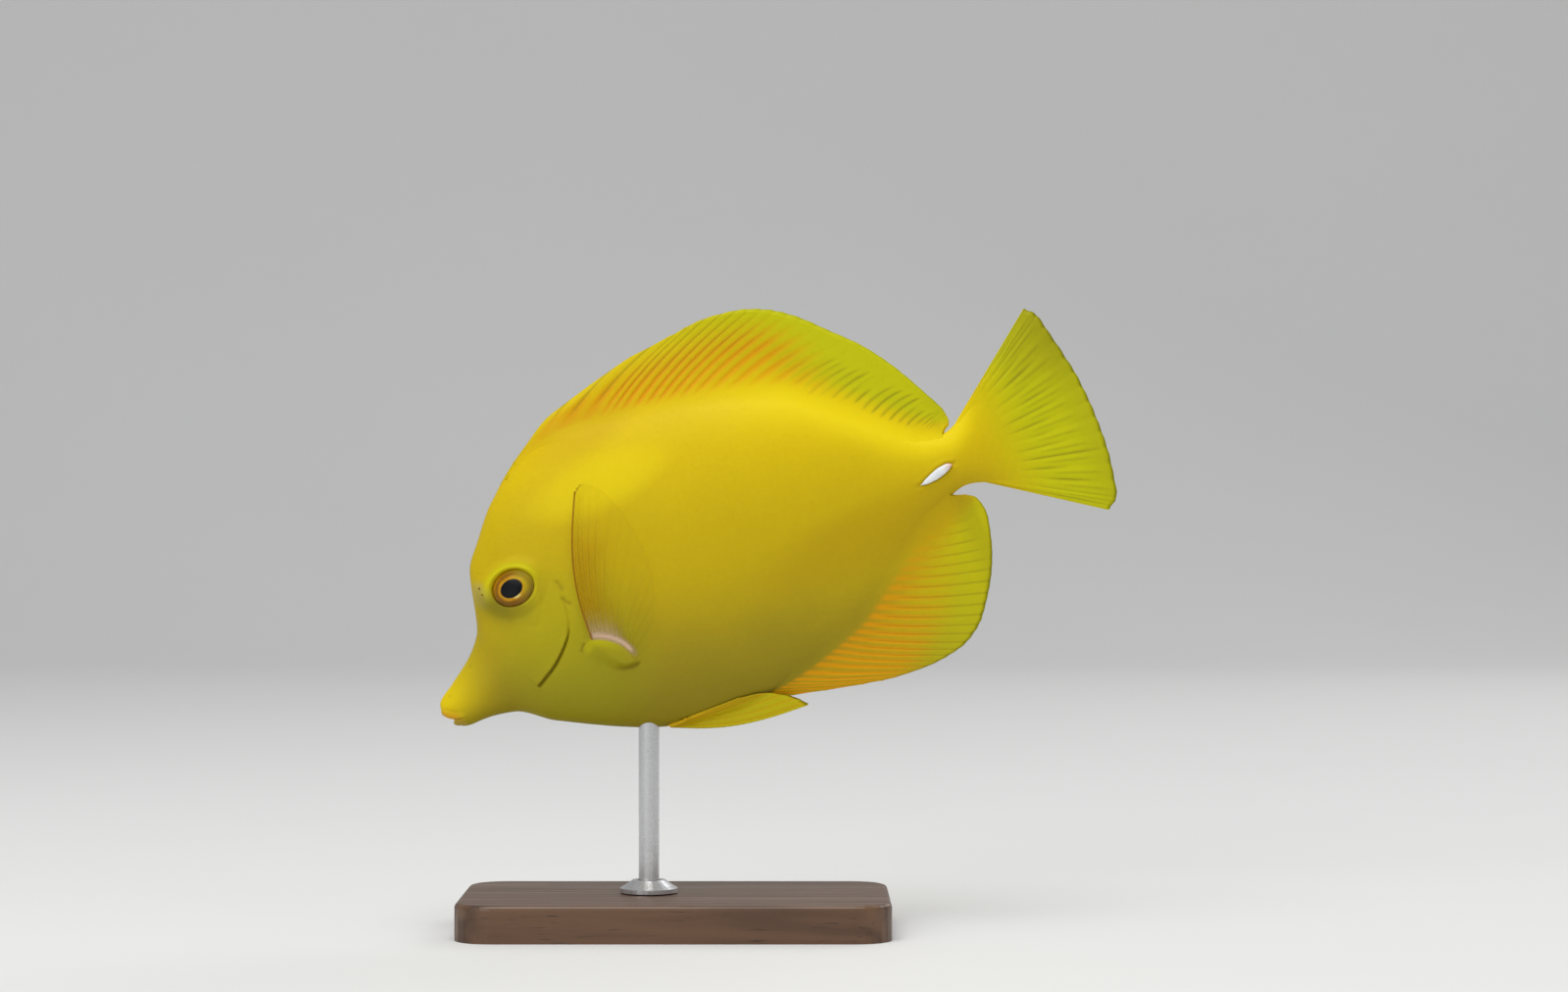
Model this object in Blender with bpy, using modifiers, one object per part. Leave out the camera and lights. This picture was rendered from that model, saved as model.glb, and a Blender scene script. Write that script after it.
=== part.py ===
# Yellow tang, life size, nose down on a plain display stand

import math

import bmesh
import bpy
from mathutils import Vector

MM = 0.001
GAP = 0.3

# The fish is drawn in its own frame, in millimetres: x runs back from the snout, z up, y to its right.
SNOUT_PLACE = (-57.0, 0.0, 54.0)
NOSE_DOWN = math.radians(25.0)

# Upper and lower outline of the body, without the fins
BACK = ((-0.7, -0.7), (0.2, 1.3), (5.0, 4.1), (15.3, 12.3), (20.8, 28.0), (24.5, 32.2), (33.0, 40.6),
        (50.0, 48.0), (54.0, 48.2), (74.0, 44.6), (105.0, 34.7), (130.0, 13.0), (133.0, 10.6),
        (139.0, 8.8), (145.0, 11.6))
BELLY = ((-0.7, -2.4), (0.8, -5.1), (3.6, -7.1), (8.5, -7.0), (16.0, -8.5), (24.0, -14.6), (56.0, -29.6),
         (66.0, -30.8), (76.0, -30.3), (100.0, -24.6), (112.0, -17.5), (130.0, -7.4), (138.0, -4.9),
         (145.0, -7.4))
# Half the width, and the height at which the body is widest
HALF_WIDTH = ((-0.7, 1.0), (0.8, 2.4), (8.0, 4.0), (14.0, 5.1), (40.0, 9.7), (55.0, 10.5), (70.0, 10.2),
              (128.0, 3.6), (145.0, 2.0))
WIDEST = ((-0.7, -1.5), (8.0, -0.5), (30.0, 6.0), (60.0, 8.0), (80.0, 8.0), (120.0, 4.5), (138.0, 2.0),
          (145.0, 2.0))
FULLNESS = 1.85
RING_POINTS = 28
NOSE_TIP_X = -1.15
TAIL_ROOT_X = 143.0
HEAD_STEP = 0.75
STEP_GROWTH = 0.085
LARGEST_STEP = 6.0
LARGEST_RISE = 2.2

# Where the body is parted, as lines in the side view from top to bottom
GILL_LINE = ((30.0, 46.0), (36.5, 30.0), (39.0, 18.0), (39.3, 11.0), (37.6, 5.4), (34.0, 1.0), (30.0, -2.2),
             (24.0, -5.2), (22.2, -8.5), (21.5, -22.0))
TAIL_STALK_LINE = ((121.0, 30.0), (124.0, 12.0), (124.0, -6.0), (121.0, -20.0))
UPPER_LIP_LINE = ((-0.5, 5.0), (-0.1, 0.9), (0.7, -0.7), (2.1, -2.3), (4.3, -4.0))
JAW_LINE = ((4.3, -4.1), (9.5, -9.0))
MOUTH_TOP = ((-4.0, 0.9), (-1.2, -1.55), (0.3, -2.85), (2.3, -3.9))
MOUTH_BOTTOM = ((-4.0, -5.6), (0.8, -4.85), (2.3, -4.25))
MOUTH_CORNER = (4.3, -4.05)
LIP_SWELL = 0.45
LIP_HEIGHT = 0.9
LIP_GROOVE = 0.2

# Eye, its lid rim and the nostrils
EYE_CENTRE = (28.4, 18.9)
EYE_RADII = (5.05, 3.1, 4.1)
EYE_BULGE = 1.0
LID_INNER = (5.4, 4.45)
LID_OUTER = (6.7, 6.1)
LID_OUTER_RISE = 0.45
LID_RAISE = 0.6
LID_DEPTH = 0.9
NOSTRILS = ((20.3, 21.9, 0.48), (20.4, 20.0, 0.34))
NOSTRIL_RIM = 0.32

# Gill cover: its front edge and its rear edge, from top to bottom
COVER_FRONT = ((36.6, 19.6), (35.0, 14.0), (33.6, 8.0), (29.5, 2.6), (24.6, -1.6), (22.6, -4.0))
COVER_REAR = ((37.9, 19.9), (38.6, 13.0), (37.8, 7.0), (33.7, 1.4), (29.7, -1.8), (24.0, -4.8))
COVER_LIFT = 0.4
COVER_DEPTH = 1.0

# Fleshy root of the pectoral fin: its upper edge, which carries the fin, and its lower edge
LOBE_TOP = ((39.4, -1.0), (41.0, 0.0), (43.2, -0.9), (45.3, -2.4), (46.9, -4.2), (47.9, -6.4), (48.4, -8.9))
LOBE_LOW = ((38.9, -1.9), (38.9, -4.0), (39.8, -6.2), (41.4, -8.0), (43.6, -9.3), (46.0, -9.8), (48.2, -9.6))
LOBE_LIFT = 1.3
LOBE_DEPTH = 1.0

# Fins: each row is a ray, from its root to its tip
DORSAL_ROWS = ((36.6, 37.4, 44.6), (40.0, 46.0, 49.3), (44.5, 53.0, 52.9), (51.0, 66.0, 55.8),
               (58.0, 78.0, 57.8), (63.0, 88.0, 58.3), (67.5, 96.0, 58.7), (74.0, 105.0, 57.4),
               (80.0, 112.0, 54.6), (86.0, 118.0, 50.1), (94.0, 124.0, 43.4), (103.0, 130.0, 36.3),
               (111.0, 134.5, 29.0), (119.5, 138.5, 20.5), (128.0, 141.3, 13.5), (136.0, 141.2, 10.6))
ANAL_ROWS = ((73.0, 75.5, -32.4), (74.0, 84.0, -34.9), (76.0, 96.0, -38.3), (80.0, 104.0, -40.1),
             (88.0, 113.0, -40.9), (94.0, 120.0, -40.0), (100.0, 126.0, -37.0), (106.0, 130.5, -32.0),
             (112.0, 134.8, -25.8), (118.0, 137.6, -19.5), (125.0, 139.4, -12.5), (133.0, 138.6, -7.6))
TAIL_ROWS = ((10.2, 169.3, 28.0), (9.6, 171.4, 25.4), (8.6, 172.4, 20.0), (6.9, 173.5, 13.0),
             (4.6, 174.2, 7.0), (2.1, 174.3, 1.0), (-0.3, 174.0, -5.0), (-2.6, 173.4, -11.0),
             (-4.5, 172.4, -17.0), (-5.6, 171.3, -22.5), (-6.2, 169.8, -25.4))
PECTORAL_ROWS = ((41.0, 0.5, 54.5, 35.0), (43.4, -0.5, 58.0, 31.0), (45.6, -2.1, 60.8, 23.0),
                 (47.2, -4.0, 61.5, 13.5), (48.2, -6.2, 59.6, 4.0), (48.8, -8.9, 53.2, -7.0))
PELVIC_ROWS = ((50.4, -29.2, 80.7, -37.0), (51.6, -28.9, 79.0, -34.9), (52.8, -28.5, 75.5, -31.8),
               (54.2, -28.1, 69.5, -28.5))
# Rows at which the stiff spines stand, then the first and last row and the number of the soft rays
DORSAL_SPINES = (0.45, 2.0, 3.0, 4.0, 5.0)
DORSAL_RAYS = (5.6, 15.0, 24)
ANAL_SPINES = (0.5, 1.25, 1.95)
ANAL_RAYS = (2.5, 11.0, 20)
TAIL_RAYS = (0.0, 10.0, 16)
PECTORAL_RAYS = (0.0, 5.0, 15)
PELVIC_SPINES = (0.0,)
PELVIC_RAYS = (0.7, 3.0, 5)
MEMBRANE = 0.5
RAY_RAISE = 0.26
SPINE_RAISE = 0.36
RAY_NOTCH = 0.3
SPINE_NOTCH = 1.0
RAY_SHARE = 0.3
FIN_ROWS = 4
PECTORAL_FIN_ROWS = 5
ROOT_THICKNESS = 1.9
PECTORAL_BOW = 3.2
PECTORAL_ROOT_OFF = 1.15
PECTORAL_TIP_OFF = 2.4
PELVIC_OFF = 1.25
PELVIC_SPREAD = 2.6

# Spine of the tail stalk: its upper edge and its lower edge, front to back
SPINE_TOP = ((128.3, 0.0), (130.0, 1.0), (132.0, 1.7), (134.0, 2.0), (136.0, 1.9), (137.2, 1.3))
SPINE_LOW = ((128.3, -0.5), (130.0, -0.9), (132.0, -0.9), (134.0, -0.5), (136.0, 0.2), (137.2, 0.8))
SPINE_LIFT = 1.1
SPINE_DEPTH = 0.7

# Stand
BASE_SIZE = (104.0, 58.0, 9.0)
BASE_CORNER = 9.0
BASE_EDGE = 1.2
ROD_RADIUS = 2.5
ROD_X = 50.5
ROD_IN_BODY = 12.0
ROD_IN_BASE = 5.0
COLLAR_RADIUS = 7.0
COLLAR_HEIGHT = 3.0

COLOURS = {
    "skin": (0.72, 0.55, 0.01),
    "belly": (0.55, 0.44, 0.02),
    "lip": (0.70, 0.42, 0.04),
    "fin": (0.70, 0.60, 0.02),
    "ray": (0.66, 0.45, 0.02),
    "eye": (0.05, 0.03, 0.01),
    "lid": (0.68, 0.60, 0.02),
    "spine": (0.80, 0.80, 0.78),
    "wood": (0.14, 0.07, 0.035),
    "steel": (0.62, 0.62, 0.63),
}


def slopes(points):
    """Slope of a smooth curve at each of its points; level where the points turn back."""
    widths = [b[0] - a[0] for a, b in zip(points, points[1:])]
    grades = [(b[1] - a[1]) / w for a, b, w in zip(points, points[1:], widths)]
    result = [grades[0]]
    for i in range(1, len(grades)):
        before, after = grades[i - 1], grades[i]
        if before * after <= 0.0:
            result.append(0.0)
            continue
        near = 2.0 * widths[i] + widths[i - 1]
        far = widths[i] + 2.0 * widths[i - 1]
        result.append((near + far) / (near / before + far / after))
    return result + [grades[-1]]


def curve(points, x):
    """Height at x of the smooth curve through points that run forward in x."""
    tangents = slopes(points)
    i = 0
    while i < len(points) - 2 and x > points[i + 1][0]:
        i += 1
    width = points[i + 1][0] - points[i][0]
    t = (x - points[i][0]) / width
    from_left = (1.0 + 2.0 * t) * (1.0 - t) ** 2 * points[i][1] + t * (1.0 - t) ** 2 * width * tangents[i]
    from_right = t * t * (3.0 - 2.0 * t) * points[i + 1][1] + t * t * (t - 1.0) * width * tangents[i + 1]
    return from_left + from_right


def along(rows, share, column):
    """One column of a table of rows, read smoothly at a share of the way down the table."""
    points = [(i, row[column]) for i, row in enumerate(rows)]
    return curve(points, share * (len(rows) - 1))


def place(x, y, z):
    """A point of the fish's own frame, in metres in the part's frame."""
    turned_x = x * math.cos(NOSE_DOWN) - z * math.sin(NOSE_DOWN)
    turned_z = x * math.sin(NOSE_DOWN) + z * math.cos(NOSE_DOWN)
    return Vector((turned_x + SNOUT_PLACE[0], y + SNOUT_PLACE[1], turned_z + SNOUT_PLACE[2])) * MM


def flank(x, z, grow=0.0):
    """Half the width of the body at a point of the side view, with the body grown by a margin."""
    middle = curve(WIDEST, x)
    reach = (curve(BACK, x) if z > middle else curve(BELLY, x)) - middle
    share = abs(z - middle) / (abs(reach) + grow)
    if share >= 1.0:
        return 0.0
    return (curve(HALF_WIDTH, x) + grow) * (1.0 - share ** FULLNESS) ** (1.0 / FULLNESS)


def lip_swell(x, z):
    """How far the lips stand out beside the line of the mouth, with a groove behind them."""
    if x > MOUTH_CORNER[0]:
        away = math.hypot(x - MOUTH_CORNER[0], z - MOUTH_CORNER[1])
    elif z > MOUTH_CORNER[1]:
        away = max(z - curve(MOUTH_TOP[1:] + (MOUTH_CORNER,), x), 0.0)
    else:
        away = max(curve(MOUTH_BOTTOM + (MOUTH_CORNER,), x) - z, 0.0)
    groove = LIP_GROOVE * math.exp(-((away - 2.0 * LIP_HEIGHT) / (0.6 * LIP_HEIGHT)) ** 2)
    return LIP_SWELL * math.exp(-(away / LIP_HEIGHT) ** 2) - groove


def body_stations():
    """Places along the fish where its section is drawn, closer together on the head."""
    x = HALF_WIDTH[0][0]
    stations = [x]
    while x < TAIL_ROOT_X - GAP:
        step = min(LARGEST_STEP, HEAD_STEP + STEP_GROWTH * max(x, 0.0))
        rise = abs(curve(BACK, x + step) - curve(BACK, x))
        if rise > LARGEST_RISE and x < EYE_CENTRE[0]:
            step *= LARGEST_RISE / rise
        x = min(x + step, TAIL_ROOT_X - GAP / 2.0)
        stations.append(x)
    return stations


def body_ring(x, shrink=1.0):
    """Section of the body at x, as points of the fish's frame."""
    middle = curve(WIDEST, x)
    width = curve(HALF_WIDTH, x) * shrink
    up = (curve(BACK, x) - middle) * shrink
    down = (middle - curve(BELLY, x)) * shrink
    ring = []
    for i in range(RING_POINTS):
        angle = 2.0 * math.pi * i / RING_POINTS
        across = math.copysign(abs(math.cos(angle)) ** (2.0 / FULLNESS), math.cos(angle))
        height = math.copysign(abs(math.sin(angle)) ** (2.0 / FULLNESS), math.sin(angle))
        z = middle + height * (up if height > 0.0 else down)
        y = across * (width + lip_swell(x, z))
        ring.append((x, y, z))
    return ring


def new_object(name, mesh, collection, colour=None, roughness=0.45, metallic=0.0):
    piece = bpy.data.objects.new(name, mesh)
    collection.objects.link(piece)
    if colour is None:
        piece.hide_render = True
        piece.display_type = "WIRE"
        return piece
    material = bpy.data.materials.new(name)
    material.use_nodes = True
    shader = material.node_tree.nodes["Principled BSDF"]
    shader.inputs["Base Color"].default_value = (*COLOURS[colour], 1.0)
    shader.inputs["Roughness"].default_value = roughness
    shader.inputs["Metallic"].default_value = metallic
    material.diffuse_color = (*COLOURS[colour], 1.0)
    mesh.materials.clear()
    mesh.materials.append(material)
    return piece


def mesh_from(name, rings, closed_rings, closed_path, triangles=False):
    """Skin over a row of rings of points; open ends are closed with a face each."""
    shape = bmesh.new()
    grid = [[shape.verts.new(place(*point)) for point in ring] for ring in rings]
    rows = list(zip(grid, grid[1:]))
    if closed_path:
        rows.append((grid[-1], grid[0]))
    count = len(rings[0])
    for near, far in rows:
        for i in range(count if closed_rings else count - 1):
            j = (i + 1) % count
            if triangles:
                shape.faces.new((near[i], near[j], far[j]))
                shape.faces.new((near[i], far[j], far[i]))
            else:
                shape.faces.new((near[i], near[j], far[j], far[i]))
    if not closed_path:
        shape.faces.new(grid[0])
        shape.faces.new(list(reversed(grid[-1])))
    bmesh.ops.recalc_face_normals(shape, faces=shape.faces)
    mesh = bpy.data.meshes.new(name)
    shape.to_mesh(mesh)
    shape.free()
    return mesh


def shade(piece, angle=35.0):
    piece.data.shade_smooth()
    piece.data.set_sharp_from_angle(angle=math.radians(angle))


def apply_modifiers(piece):
    seen = piece.evaluated_get(bpy.context.evaluated_depsgraph_get())
    mesh = bpy.data.meshes.new_from_object(seen)
    piece.modifiers.clear()
    piece.data = mesh


def cut(piece, cutter, operation="DIFFERENCE"):
    """Boolean of one mesh with another, applied; the largest closed surface is kept."""
    boolean = piece.modifiers.new(operation.title(), "BOOLEAN")
    boolean.operation = operation
    boolean.object = cutter
    apply_modifiers(piece)
    keep_largest(piece)


def keep_largest(piece):
    shape = bmesh.new()
    shape.from_mesh(piece.data)
    bmesh.ops.remove_doubles(shape, verts=shape.verts, dist=1e-6)
    left = set(shape.verts)
    islands = []
    while left:
        seed = left.pop()
        island = {seed}
        front = [seed]
        while front:
            vert = front.pop()
            for edge in vert.link_edges:
                other = edge.other_vert(vert)
                if other in left:
                    left.discard(other)
                    island.add(other)
                    front.append(other)
        islands.append(island)
    islands.sort(key=len, reverse=True)
    for island in islands[1:]:
        bmesh.ops.delete(shape, geom=list(island), context="VERTS")
    shape.to_mesh(piece.data)
    shape.free()


def prism(name, outline, collection, reach=40.0):
    """A side-view outline drawn out to both sides of the fish."""
    rings = [[(x, side, z) for x, z in outline] for side in (-reach, reach)]
    return new_object(name, mesh_from(name, rings, True, False), collection)


def offset_line(points, distance):
    """A line moved sideways in the side view; positive is to the left of its direction."""
    moved = []
    for i, point in enumerate(points):
        before = points[max(i - 1, 0)]
        after = points[min(i + 1, len(points) - 1)]
        length = math.hypot(after[0] - before[0], after[1] - before[1])
        normal = (-(after[1] - before[1]) / length, (after[0] - before[0]) / length)
        moved.append((point[0] + normal[0] * distance, point[1] + normal[1] * distance))
    return moved


def resample(points, count):
    """Points spaced evenly along a smooth line in the side view."""
    return [(along(points, i / (count - 1), 0), along(points, i / (count - 1), 1)) for i in range(count)]


def patch(name, side, first, second, lift, depth, collection, colour=None, closed=False, across=5, **look):
    """A plate that lies in the flank between two side-view lines, raised as lift says."""
    rings = []
    for start, end in zip(first, second):
        outer = []
        inner = []
        for j in range(across + 1):
            share = j / across
            x = start[0] + (end[0] - start[0]) * share
            z = start[1] + (end[1] - start[1]) * share
            outer.append((x, side * flank(x, z, lift(share, x, z)), z))
            inner.append((x, side * max(flank(x, z) - depth, 0.1), z))
        rings.append(outer + inner[::-1])
    mesh = mesh_from(name, rings, True, closed)
    return new_object(name, mesh, collection, colour, **look)


def make_body(collection):
    stations = body_stations()
    nose = [(NOSE_TIP_X, y, z) for _, y, z in body_ring(stations[0], 0.55)]
    rings = [nose] + [body_ring(x) for x in stations]
    return new_object("body_whole", mesh_from("body_whole", rings, True, False), collection)


def body_region(name, body, outline, collection, cutters, colour):
    """The part of the body inside a side-view outline, as its own piece."""
    piece = new_object(name, body.data.copy(), collection, colour)
    cut(piece, prism(name + "_region", outline, cutters), "INTERSECT")
    return piece


def make_flesh(parts, cutters):
    body = make_body(cutters)
    half = GAP / 2.0
    far = 60.0
    gill_line = resample(GILL_LINE, 26)
    gill_front = offset_line(gill_line, -half)
    gill_back = offset_line(gill_line, half)
    lip_front = offset_line(UPPER_LIP_LINE, -half)
    lip_back = offset_line(UPPER_LIP_LINE, half)
    jaw_low = offset_line(JAW_LINE, -half)
    jaw_high = offset_line(JAW_LINE, half)
    stalk_front = offset_line(TAIL_STALK_LINE, -half)
    stalk_back = offset_line(TAIL_STALK_LINE, half)
    lip = lip_front + list(MOUTH_TOP[::-1]) + [(-4.0, 5.0)]
    jaw = list(MOUTH_BOTTOM) + jaw_low + [(9.0, -20.0), (-4.0, -20.0)]
    head = lip_back + jaw_high + [(12.0, -22.0)] + gill_front[::-1] + [(-0.5, 46.0)]
    trunk = gill_back + [(21.5, -far), (121.0, -far)] + stalk_front[::-1] + [(121.0, far), (30.0, far)]
    stalk = stalk_back + [(121.0, -far), (150.0, -far), (150.0, far), (121.0, far)]
    return {
        "upper_lip": body_region("upper_lip", body, lip, parts, cutters, "lip"),
        "lower_jaw": body_region("lower_jaw", body, jaw, parts, cutters, "lip"),
        "head": body_region("head", body, head, parts, cutters, "skin"),
        "trunk": body_region("trunk", body, trunk, parts, cutters, "skin"),
        "tail_stalk": body_region("tail_stalk", body, stalk, parts, cutters, "skin"),
    }


def eye_turn(side):
    """Turn that points the eye straight out of the sloping cheek."""
    x, z = EYE_CENTRE
    slope_x = (flank(x + 1.0, z) - flank(x - 1.0, z)) / 2.0
    slope_z = (flank(x, z + 1.0) - flank(x, z - 1.0)) / 2.0
    outward = Vector((-slope_x, side, -slope_z)).normalized()
    return Vector((0.0, side, 0.0)).rotation_difference(outward)


def eyeball(name, side, grow, collection, colour=None):
    """A flattened ball set in the cheek; grown, it is the socket."""
    shape = bmesh.new()
    bmesh.ops.create_uvsphere(shape, u_segments=22, v_segments=12, radius=1.0)
    turn = eye_turn(side)
    x, z = EYE_CENTRE
    centre = Vector((x, side * (flank(x, z) + EYE_BULGE - EYE_RADII[1]), z))
    for vert in shape.verts:
        flat = Vector((vert.co.x * (EYE_RADII[0] + grow), vert.co.z * (EYE_RADII[1] + grow),
                       -vert.co.y * (EYE_RADII[2] + grow)))
        vert.co = place(*(centre + turn @ flat))
    mesh = bpy.data.meshes.new(name)
    shape.to_mesh(mesh)
    shape.free()
    return new_object(name, mesh, collection, colour, roughness=0.12)


def ellipse(centre, radii, count=28):
    return [(centre[0] + radii[0] * math.cos(2.0 * math.pi * i / count),
             centre[1] + radii[1] * math.sin(2.0 * math.pi * i / count)) for i in range(count)]


def make_eye(side, word, head, parts, cutters):
    eyeball("eye_" + word, side, 0.0, parts, "eye")
    socket = eyeball("socket_" + word, side, GAP, cutters)
    inner = ellipse(EYE_CENTRE, LID_INNER)
    middle = (EYE_CENTRE[0], EYE_CENTRE[1] + LID_OUTER_RISE)
    outer = ellipse(middle, LID_OUTER)
    rim = patch("eyelid_" + word, side, inner, outer,
                lambda share, x, z: LID_RAISE * math.sin(math.pi * (0.3 + 0.7 * share)),
                LID_DEPTH, parts, "lid", closed=True, across=3)
    shade(rim)
    bed = patch("eyelid_bed_" + word, side, ellipse(EYE_CENTRE, (1.0, 1.0)),
                ellipse(middle, [r + GAP for r in LID_OUTER]), lambda share, x, z: 4.0,
                LID_DEPTH + GAP, cutters, closed=True, across=2)
    cut(head, bed)
    cut(head, socket)


def make_nostrils(side, word, head, cutters):
    """Two pits in front of the eye, each with a low raised rim."""
    for i, (x, z, radius) in enumerate(NOSTRILS):
        rim = patch(f"nostril_rim_{word}_{i + 1}", side, ellipse((x, z), (radius * 0.6, radius * 0.6), 8),
                    ellipse((x, z), (radius + NOSTRIL_RIM, radius + NOSTRIL_RIM), 8),
                    lambda share, x, z: 0.2 - 0.3 * share ** 3, 0.5, cutters, closed=True, across=2)
        cut(head, rim, "UNION")
        shape = bmesh.new()
        bmesh.ops.create_uvsphere(shape, u_segments=8, v_segments=6, radius=radius * MM)
        bmesh.ops.translate(shape, verts=shape.verts, vec=place(x, side * flank(x, z), z))
        name = f"nostril_{word}_{i + 1}"
        mesh = bpy.data.meshes.new(name)
        shape.to_mesh(mesh)
        shape.free()
        cut(head, new_object(name, mesh, cutters))


def make_gill_cover(side, word, head, parts, cutters):
    front = resample(COVER_FRONT, 13)
    rear = resample(COVER_REAR, 13)
    cover = patch("gill_cover_" + word, side, front, rear,
                  lambda share, x, z: COVER_LIFT * share ** 2, COVER_DEPTH, parts, "skin")
    shade(cover)
    wide_front = offset_line(front, -GAP)
    wide_front[0] = (wide_front[0][0], wide_front[0][1] + GAP)
    wide_front[-1] = (wide_front[-1][0] - GAP, wide_front[-1][1] - GAP)
    wide_rear = offset_line(rear, 2.0)
    wide_rear[0] = (wide_rear[0][0], wide_rear[0][1] + GAP)
    bed = patch("gill_bed_" + word, side, wide_front, wide_rear, lambda share, x, z: 4.0,
                COVER_DEPTH + GAP, cutters)
    cut(head, bed)


def make_pectoral_root(side, word, trunk, parts, cutters):
    top = resample(LOBE_TOP, 11)
    low = resample(LOBE_LOW, 11)
    lobe = patch("pectoral_root_" + word, side, top, low,
                 lambda share, x, z: LOBE_LIFT * math.sin(math.pi * (0.2 + 0.8 * share)),
                 LOBE_DEPTH, parts, "skin")
    shade(lobe)
    wide_top = offset_line(top, GAP)
    wide_low = offset_line(low, -GAP)
    bed = patch("pectoral_bed_" + word, side, wide_top, wide_low, lambda share, x, z: 4.0,
                LOBE_DEPTH + GAP, cutters)
    cut(trunk, bed)


def make_tail_spine(side, word, stalk, parts, cutters):
    top = resample(SPINE_TOP, 9)
    low = resample(SPINE_LOW, 9)
    spine = patch("tail_spine_" + word, side, top, low,
                  lambda share, x, z: SPINE_LIFT * math.sin(math.pi * share) + 0.05,
                  SPINE_DEPTH, parts, "spine", roughness=0.3)
    shade(spine)
    wide_top = offset_line(top, GAP)
    wide_low = offset_line(low, -GAP)
    wide_top[0] = (top[0][0] - GAP, top[0][1] + GAP / 2.0)
    wide_low[0] = (low[0][0] - GAP, low[0][1] - GAP / 2.0)
    wide_top[-1] = (top[-1][0] + GAP, top[-1][1] + GAP / 2.0)
    wide_low[-1] = (low[-1][0] + GAP, low[-1][1] - GAP / 2.0)
    groove = patch("tail_spine_bed_" + word, side, wide_top, wide_low, lambda share, x, z: 4.0,
                   SPINE_DEPTH + GAP, cutters)
    cut(stalk, groove)


def fin_columns(spines, rays, rows):
    """Columns of a fin as (share, ridge, notch): a ridge on each spine and ray, flat membrane between."""
    first, last, count = rays
    stiff = [(row, SPINE_RAISE, SPINE_NOTCH) for row in spines]
    soft = [(first + (last - first) * i / (count - 1), RAY_RAISE, RAY_NOTCH) for i in range(count)]
    ridges = stiff + soft
    end = len(rows) - 1
    columns = []
    if ridges[0][0] > 0.0:
        columns.append((0.0, 0.0, 0.0))
    for here, after in zip(ridges, ridges[1:]):
        foot = (after[0] - here[0]) * RAY_SHARE
        columns.append((here[0] / end, here[1], 0.0))
        columns.append(((here[0] + foot) / end, 0.0, here[2]))
        columns.append(((after[0] - foot) / end, 0.0, here[2]))
    columns.append((ridges[-1][0] / end, ridges[-1][1], 0.0))
    return columns


def fin_mesh(name, columns, point, half_thickness, sideways, rows=FIN_ROWS):
    """A thin closed fin with raised rays; both faces are split into the same triangles."""
    rings = []
    for u, ridge, notch in columns:
        root = point(u, 0.0)
        tip = point(u, 1.0)
        length = math.hypot(tip[0] - root[0], tip[1] - root[1])
        reach = 1.0 - min(notch / length, 0.2)
        near = []
        far = []
        for j in range(rows + 1):
            v = j / rows
            x, z = point(u, v * reach)
            thick = half_thickness(u, v) + ridge * (1.0 - 0.5 * v)
            y = sideways(x, z, v)
            near.append((x, y - thick, z))
            far.append((x, y + thick, z))
        rings.append(near + far[::-1])
    return mesh_from(name, rings, True, False, triangles=True)


def straight_ray(root, tip, v):
    return root[0] + (tip[0] - root[0]) * v, root[1] + (tip[1] - root[1]) * v


def midline_fin(name, rows, columns, root_height, parts):
    """Dorsal or anal fin: rays run from the body's outline back to the edge of the fin."""
    def point(u, v):
        root_x = along(rows, u, 0)
        return straight_ray((root_x, root_height(root_x)), (along(rows, u, 1), along(rows, u, 2)), v)

    def half_thickness(u, v):
        ends = min(1.0, 12.0 * u + 0.4, 12.0 * (1.0 - u) + 0.4)
        return (MEMBRANE + (ROOT_THICKNESS - MEMBRANE) * ends * (1.0 - v) ** 3) / 2.0

    mesh = fin_mesh(name, columns, point, half_thickness, lambda x, z, v: 0.0)
    shade(new_object(name, mesh, parts, "fin"), 20.0)


def make_tail_fin(parts):
    def point(u, v):
        root = (TAIL_ROOT_X + GAP / 2.0, along(TAIL_ROWS, u, 0))
        return straight_ray(root, (along(TAIL_ROWS, u, 1), along(TAIL_ROWS, u, 2)), v)

    def half_thickness(u, v):
        root = flank(TAIL_ROOT_X, along(TAIL_ROWS, u, 0))
        return MEMBRANE / 2.0 + max(root - MEMBRANE / 2.0, 0.0) * max(1.0 - 1.8 * v, 0.0) ** 2

    columns = fin_columns((), TAIL_RAYS, TAIL_ROWS)
    mesh = fin_mesh("tail_fin", columns, point, half_thickness, lambda x, z, v: 0.0)
    shade(new_object("tail_fin", mesh, parts, "fin"), 20.0)


def make_pectoral_fin(side, word, parts):
    def point(u, v):
        root = (along(PECTORAL_ROWS, u, 0), along(PECTORAL_ROWS, u, 1))
        tip = (along(PECTORAL_ROWS, u, 2), along(PECTORAL_ROWS, u, 3))
        bow = PECTORAL_BOW * (1.0 - u) * math.sin(math.pi * v ** 0.9)
        length = math.hypot(tip[0] - root[0], tip[1] - root[1])
        x, z = straight_ray(root, tip, v)
        return x - (tip[1] - root[1]) / length * bow, z + (tip[0] - root[0]) / length * bow

    def sideways(x, z, v):
        standoff = PECTORAL_ROOT_OFF + (PECTORAL_TIP_OFF - PECTORAL_ROOT_OFF) * math.sin(math.pi / 2.0 * v)
        return side * flank(x, z, standoff)

    name = "pectoral_fin_" + word
    columns = fin_columns((), PECTORAL_RAYS, PECTORAL_ROWS)
    mesh = fin_mesh(name, columns, point, lambda u, v: (MEMBRANE + 0.3 * (1.0 - v) ** 2) / 2.0, sideways,
                    PECTORAL_FIN_ROWS)
    shade(new_object(name, mesh, parts, "fin"), 20.0)


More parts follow.
